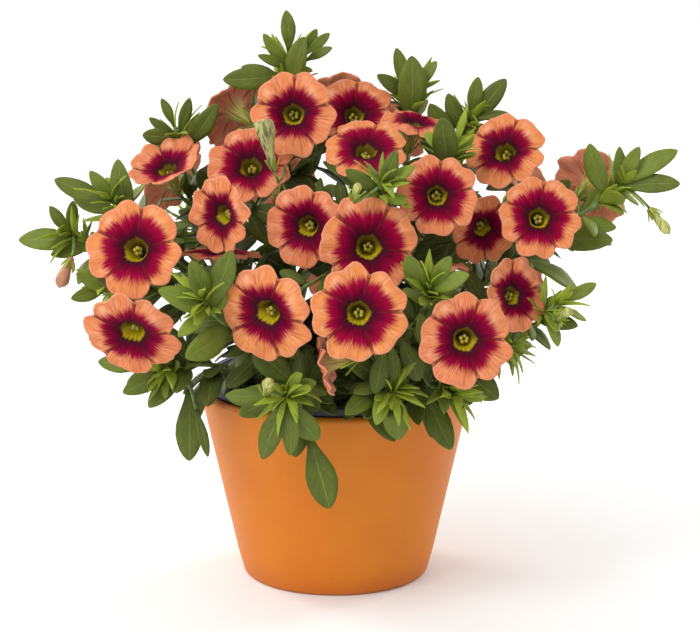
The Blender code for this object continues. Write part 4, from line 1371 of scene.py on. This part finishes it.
pot = {
    "rimRadius": 55 * mm,
    "baseRadius": 37.5 * mm,
    "height": 78 * mm,
    "wall": 4 * mm,
    "floor": 5 * mm,
    "foot": 2.2 * mm,
    "segments": 128,
    "glaze": (0.60, 0.158, 0.006),
    "glazeLight": (0.65, 0.202, 0.012),
    "glazeDark": (0.45, 0.100, 0.007),
    "roughness": 0.5,
}
grower = {
    "wall": 1.2 * mm,
    "clearance": 1.0 * mm,
    "lipHeight": 3.2 * mm,
    "lipOverhang": 2.2 * mm,
    "floor": 7 * mm,
    "segments": 96,
    "lipBend": 1.2 * mm,
    "plastic": (0.022, 0.028, 0.040),
    "dust": (0.09, 0.085, 0.075),
}
soilLook = {
    "relief": 0.9 * mm,
    "segments": 72,
    "rings": 22,
    "crumbs": 420,
    "dark": (0.020, 0.012, 0.007),
    "light": (0.085, 0.052, 0.030),
    "perlite": (0.62, 0.60, 0.55),
    "perliteShade": (0.42, 0.39, 0.33),
}


def innerRadius(z):
    outer = pot["baseRadius"] + (pot["rimRadius"] - pot["baseRadius"]) * z / pot["height"]
    return outer - pot["wall"]


def growerRadius(z):
    return innerRadius(z) - grower["clearance"] - grower["wall"]


def arc(centre, radius, start, end, steps):
    turn = [math.radians(start + (end - start) * i / steps) for i in range(steps + 1)]
    return [(centre[0] + radius * math.cos(a), centre[1] + radius * math.sin(a)) for a in turn]


def turned(profile, segments):
    bm = bmesh.new()
    spun(bm, profile, segments, 1e-6)
    bmesh.ops.recalc_face_normals(bm, faces=bm.faces)
    return bm


def makePot():
    lip, foot, floor, height = pot["wall"] / 2, pot["foot"], pot["floor"], pot["height"]
    profile = [(0, 0), (12 * mm, 0), (24 * mm, 0)]
    profile += arc((pot["baseRadius"] - foot, foot), foot, -90, -12, 6)
    profile += [(innerRadius(height * k) + pot["wall"], height * k) for k in (0.12, 0.3, 0.5, 0.7, 0.88)]
    profile += arc((pot["rimRadius"] - lip, height - lip), lip, -12, 168, 12)
    profile += [(innerRadius(height * k), height * k) for k in (0.8, 0.5, 0.25)]
    profile += [(innerRadius(floor), floor), (20 * mm, floor), (0, floor)]
    bm = turned(profile, pot["segments"])
    finish, net = newFinish("orange glaze")
    spot = net.spot()
    cloud, speck = net.grain(spot, 26, 4, 0.6), net.grain(spot, 900, 2, 0.5)
    across, deep, up = net.parts(spot)
    colour = net.coats(
        pot["glaze"],
        (net.ramp(cloud, 0.3, 0.75), pot["glazeLight"]),
        (net.ramp(up, 0.012, 0.0, 0.0, 0.45), pot["glazeDark"]),
        (net.ramp(speck, 0.66, 0.74, 0.0, 0.4), pot["glazeDark"]),
    )
    net.surface({
        "Base Color": colour,
        "Roughness": net.ramp(cloud, 0.3, 0.7, pot["roughness"] - 0.05, pot["roughness"] + 0.08),
        "Specular IOR Level": 0.3,
        "Normal": net.bump(net.grain(spot, 120) + speck * 0.3, 0.12, 0.6 * mm),
    })
    finishPiece("pot", bm, [finish], 50)


def makeGrowerPot():
    lipBase = pot["height"] + stems["gap"]
    lipTop = lipBase + grower["lipHeight"]
    top = innerRadius(pot["height"]) - grower["clearance"]
    base = innerRadius(grower["floor"]) - grower["clearance"]
    lip = top + grower["lipOverhang"]
    floor = grower["floor"] + grower["wall"]
    bend = grower["lipBend"]
    profile = [(0, grower["floor"]), (base, grower["floor"]), (top, lipBase), (lip, lipBase)]
    profile += arc((lip - bend, lipTop - bend), bend, 0, 90, 5)
    profile += [
        (growerRadius(pot["height"]), lipTop), (growerRadius(pot["height"]), pot["height"]),
        (growerRadius(floor), floor), (0, floor),
    ]
    bm = turned(profile, grower["segments"])
    finish, net = newFinish("dark plastic")
    grain, dust = net.grain(net.spot(), 300), net.grain(net.spot(), 60, 4)
    net.surface({
        "Base Color": net.mix(net.ramp(dust, 0.5, 0.75, 0.0, 0.35), grower["plastic"], grower["dust"]),
        "Roughness": net.ramp(grain, 0.3, 0.7, 0.38, 0.55),
        "Normal": net.bump(grain, 0.15, 0.3 * mm),
    })
    finishPiece("grower_pot", bm, [finish], 40)


def soilHeight(x, y):
    wave = math.sin(x * 310 + 1.3) * math.cos(y * 270 - 0.4) + 0.6 * math.sin((x - y) * 520)
    rough = noise.noise(Vector((x, y, 0)) * 260) * 0.9 + noise.noise(Vector((x, y, 0.4)) * 700) * 0.45
    return stems["soil"] + soilLook["relief"] * (wave + rough)


def makeSoil():
    draw = random.Random(f"{seed} soil")
    level = stems["soil"]
    floor = grower["floor"] + grower["wall"] + stems["gap"]
    low = growerRadius(floor) - stems["gap"]
    high = growerRadius(level) - 2 * stems["gap"]
    profile = [(0, floor), (low, floor)]
    profile += [(low + (high - low) * k / 4, floor + (level - floor) * k / 4) for k in (1, 2, 3)]
    profile += [(high * k / soilLook["rings"], level) for k in range(soilLook["rings"], -1, -1)]
    bm = turned(profile, soilLook["segments"])
    for v in bm.verts:
        if v.co.z > level - 0.1 * mm:
            v.co.z = soilHeight(v.co.x, v.co.y)
    for _ in range(soilLook["crumbs"]):
        reach, turn = high * 0.96 * math.sqrt(draw.random()), draw.uniform(*anyTurn)
        x, y = reach * math.cos(turn), reach * math.sin(turn)
        size = draw.uniform(0.4, 1.3) * mm
        made = bmesh.ops.create_icosphere(bm, subdivisions=1, radius=size)
        spot = Vector((x, y, soilHeight(x, y) + size * 0.25))
        pale = draw.random() < 0.06
        for v in made["verts"]:
            v.co = spot + v.co * draw.uniform(0.65, 1.15)
        paint(made["verts"], 1 if pale else 0)
    grain = {"scale": 700, "detail": 6, "roughness": 0.7}
    dark, light = soilLook["dark"], soilLook["light"]
    earth = grainFinish("potting soil", dark, light, (0.4, 0.66), 0.95, grain, (0.8, 1 * mm))
    perlite = fleckedFinish("perlite", soilLook["perlite"], soilLook["perliteShade"])
    finishPiece("soil", bm, [earth, perlite], 60)


print("camera and studio")
setCamera()
setStudio()
print("pot and soil")
makePot()
makeGrowerPot()
makeSoil()

print("blooms")
petalFinishes = [
    petalFront(), petalBack(), fleckedFinish("anthers", petalLook["anther"], petalLook["throatShade"]),
]
for row in blooms:
    makeBloom(row, petalFinishes)

print("shoots")
shootFinishes = [
    leafFinish(), stemFinish(), fleckedFinish("closed bud", leafLook["bud"], leafLook["budStripe"]),
    plainFinish("stem hairs", leafLook["hair"], 0.5),
    fleckedFinish("spent bloom", leafLook["spent"], leafLook["spentStripe"]),
    fleckedFinish("furled bloom", leafLook["furled"], leafLook["furledStripe"]),
]
solids = {row.name: Solid(row.name) for row in shoots}
routes = {row.name: findStem(row, solids[row.name]) for row in shoots}
stalksOf = {row.name: [] for row in shoots}
for row in blooms:
    owner, stalk = findStalk(row, routes, solids)
    if owner:
        stalksOf[owner].append((row.name, stalk))
crowd = Crowd()
total = 0
for row in shoots:
    route, solid, stalks = routes[row.name], solids[row.name], stalksOf[row.name]
    blades, twigs = findKeyBlades(row, route, solid)
    blades += findBlades(row, route, solid)
    skirt, moreTwigs = skirtBlades(row, route, crowd)
    extras = skirt + extraBlades(row, route, crowd)
    for name, stalk in stalks:
        extras += stalkBlades(name, stalk, crowd)
    makeShoot(row, route, blades, twigs + moreTwigs, extras, stalks, shootFinishes)
    total += len(blades) + len(extras)
    print(row.name, len(blades), "leaves of the solid,", len(extras), "added")
print(total, "leaves")
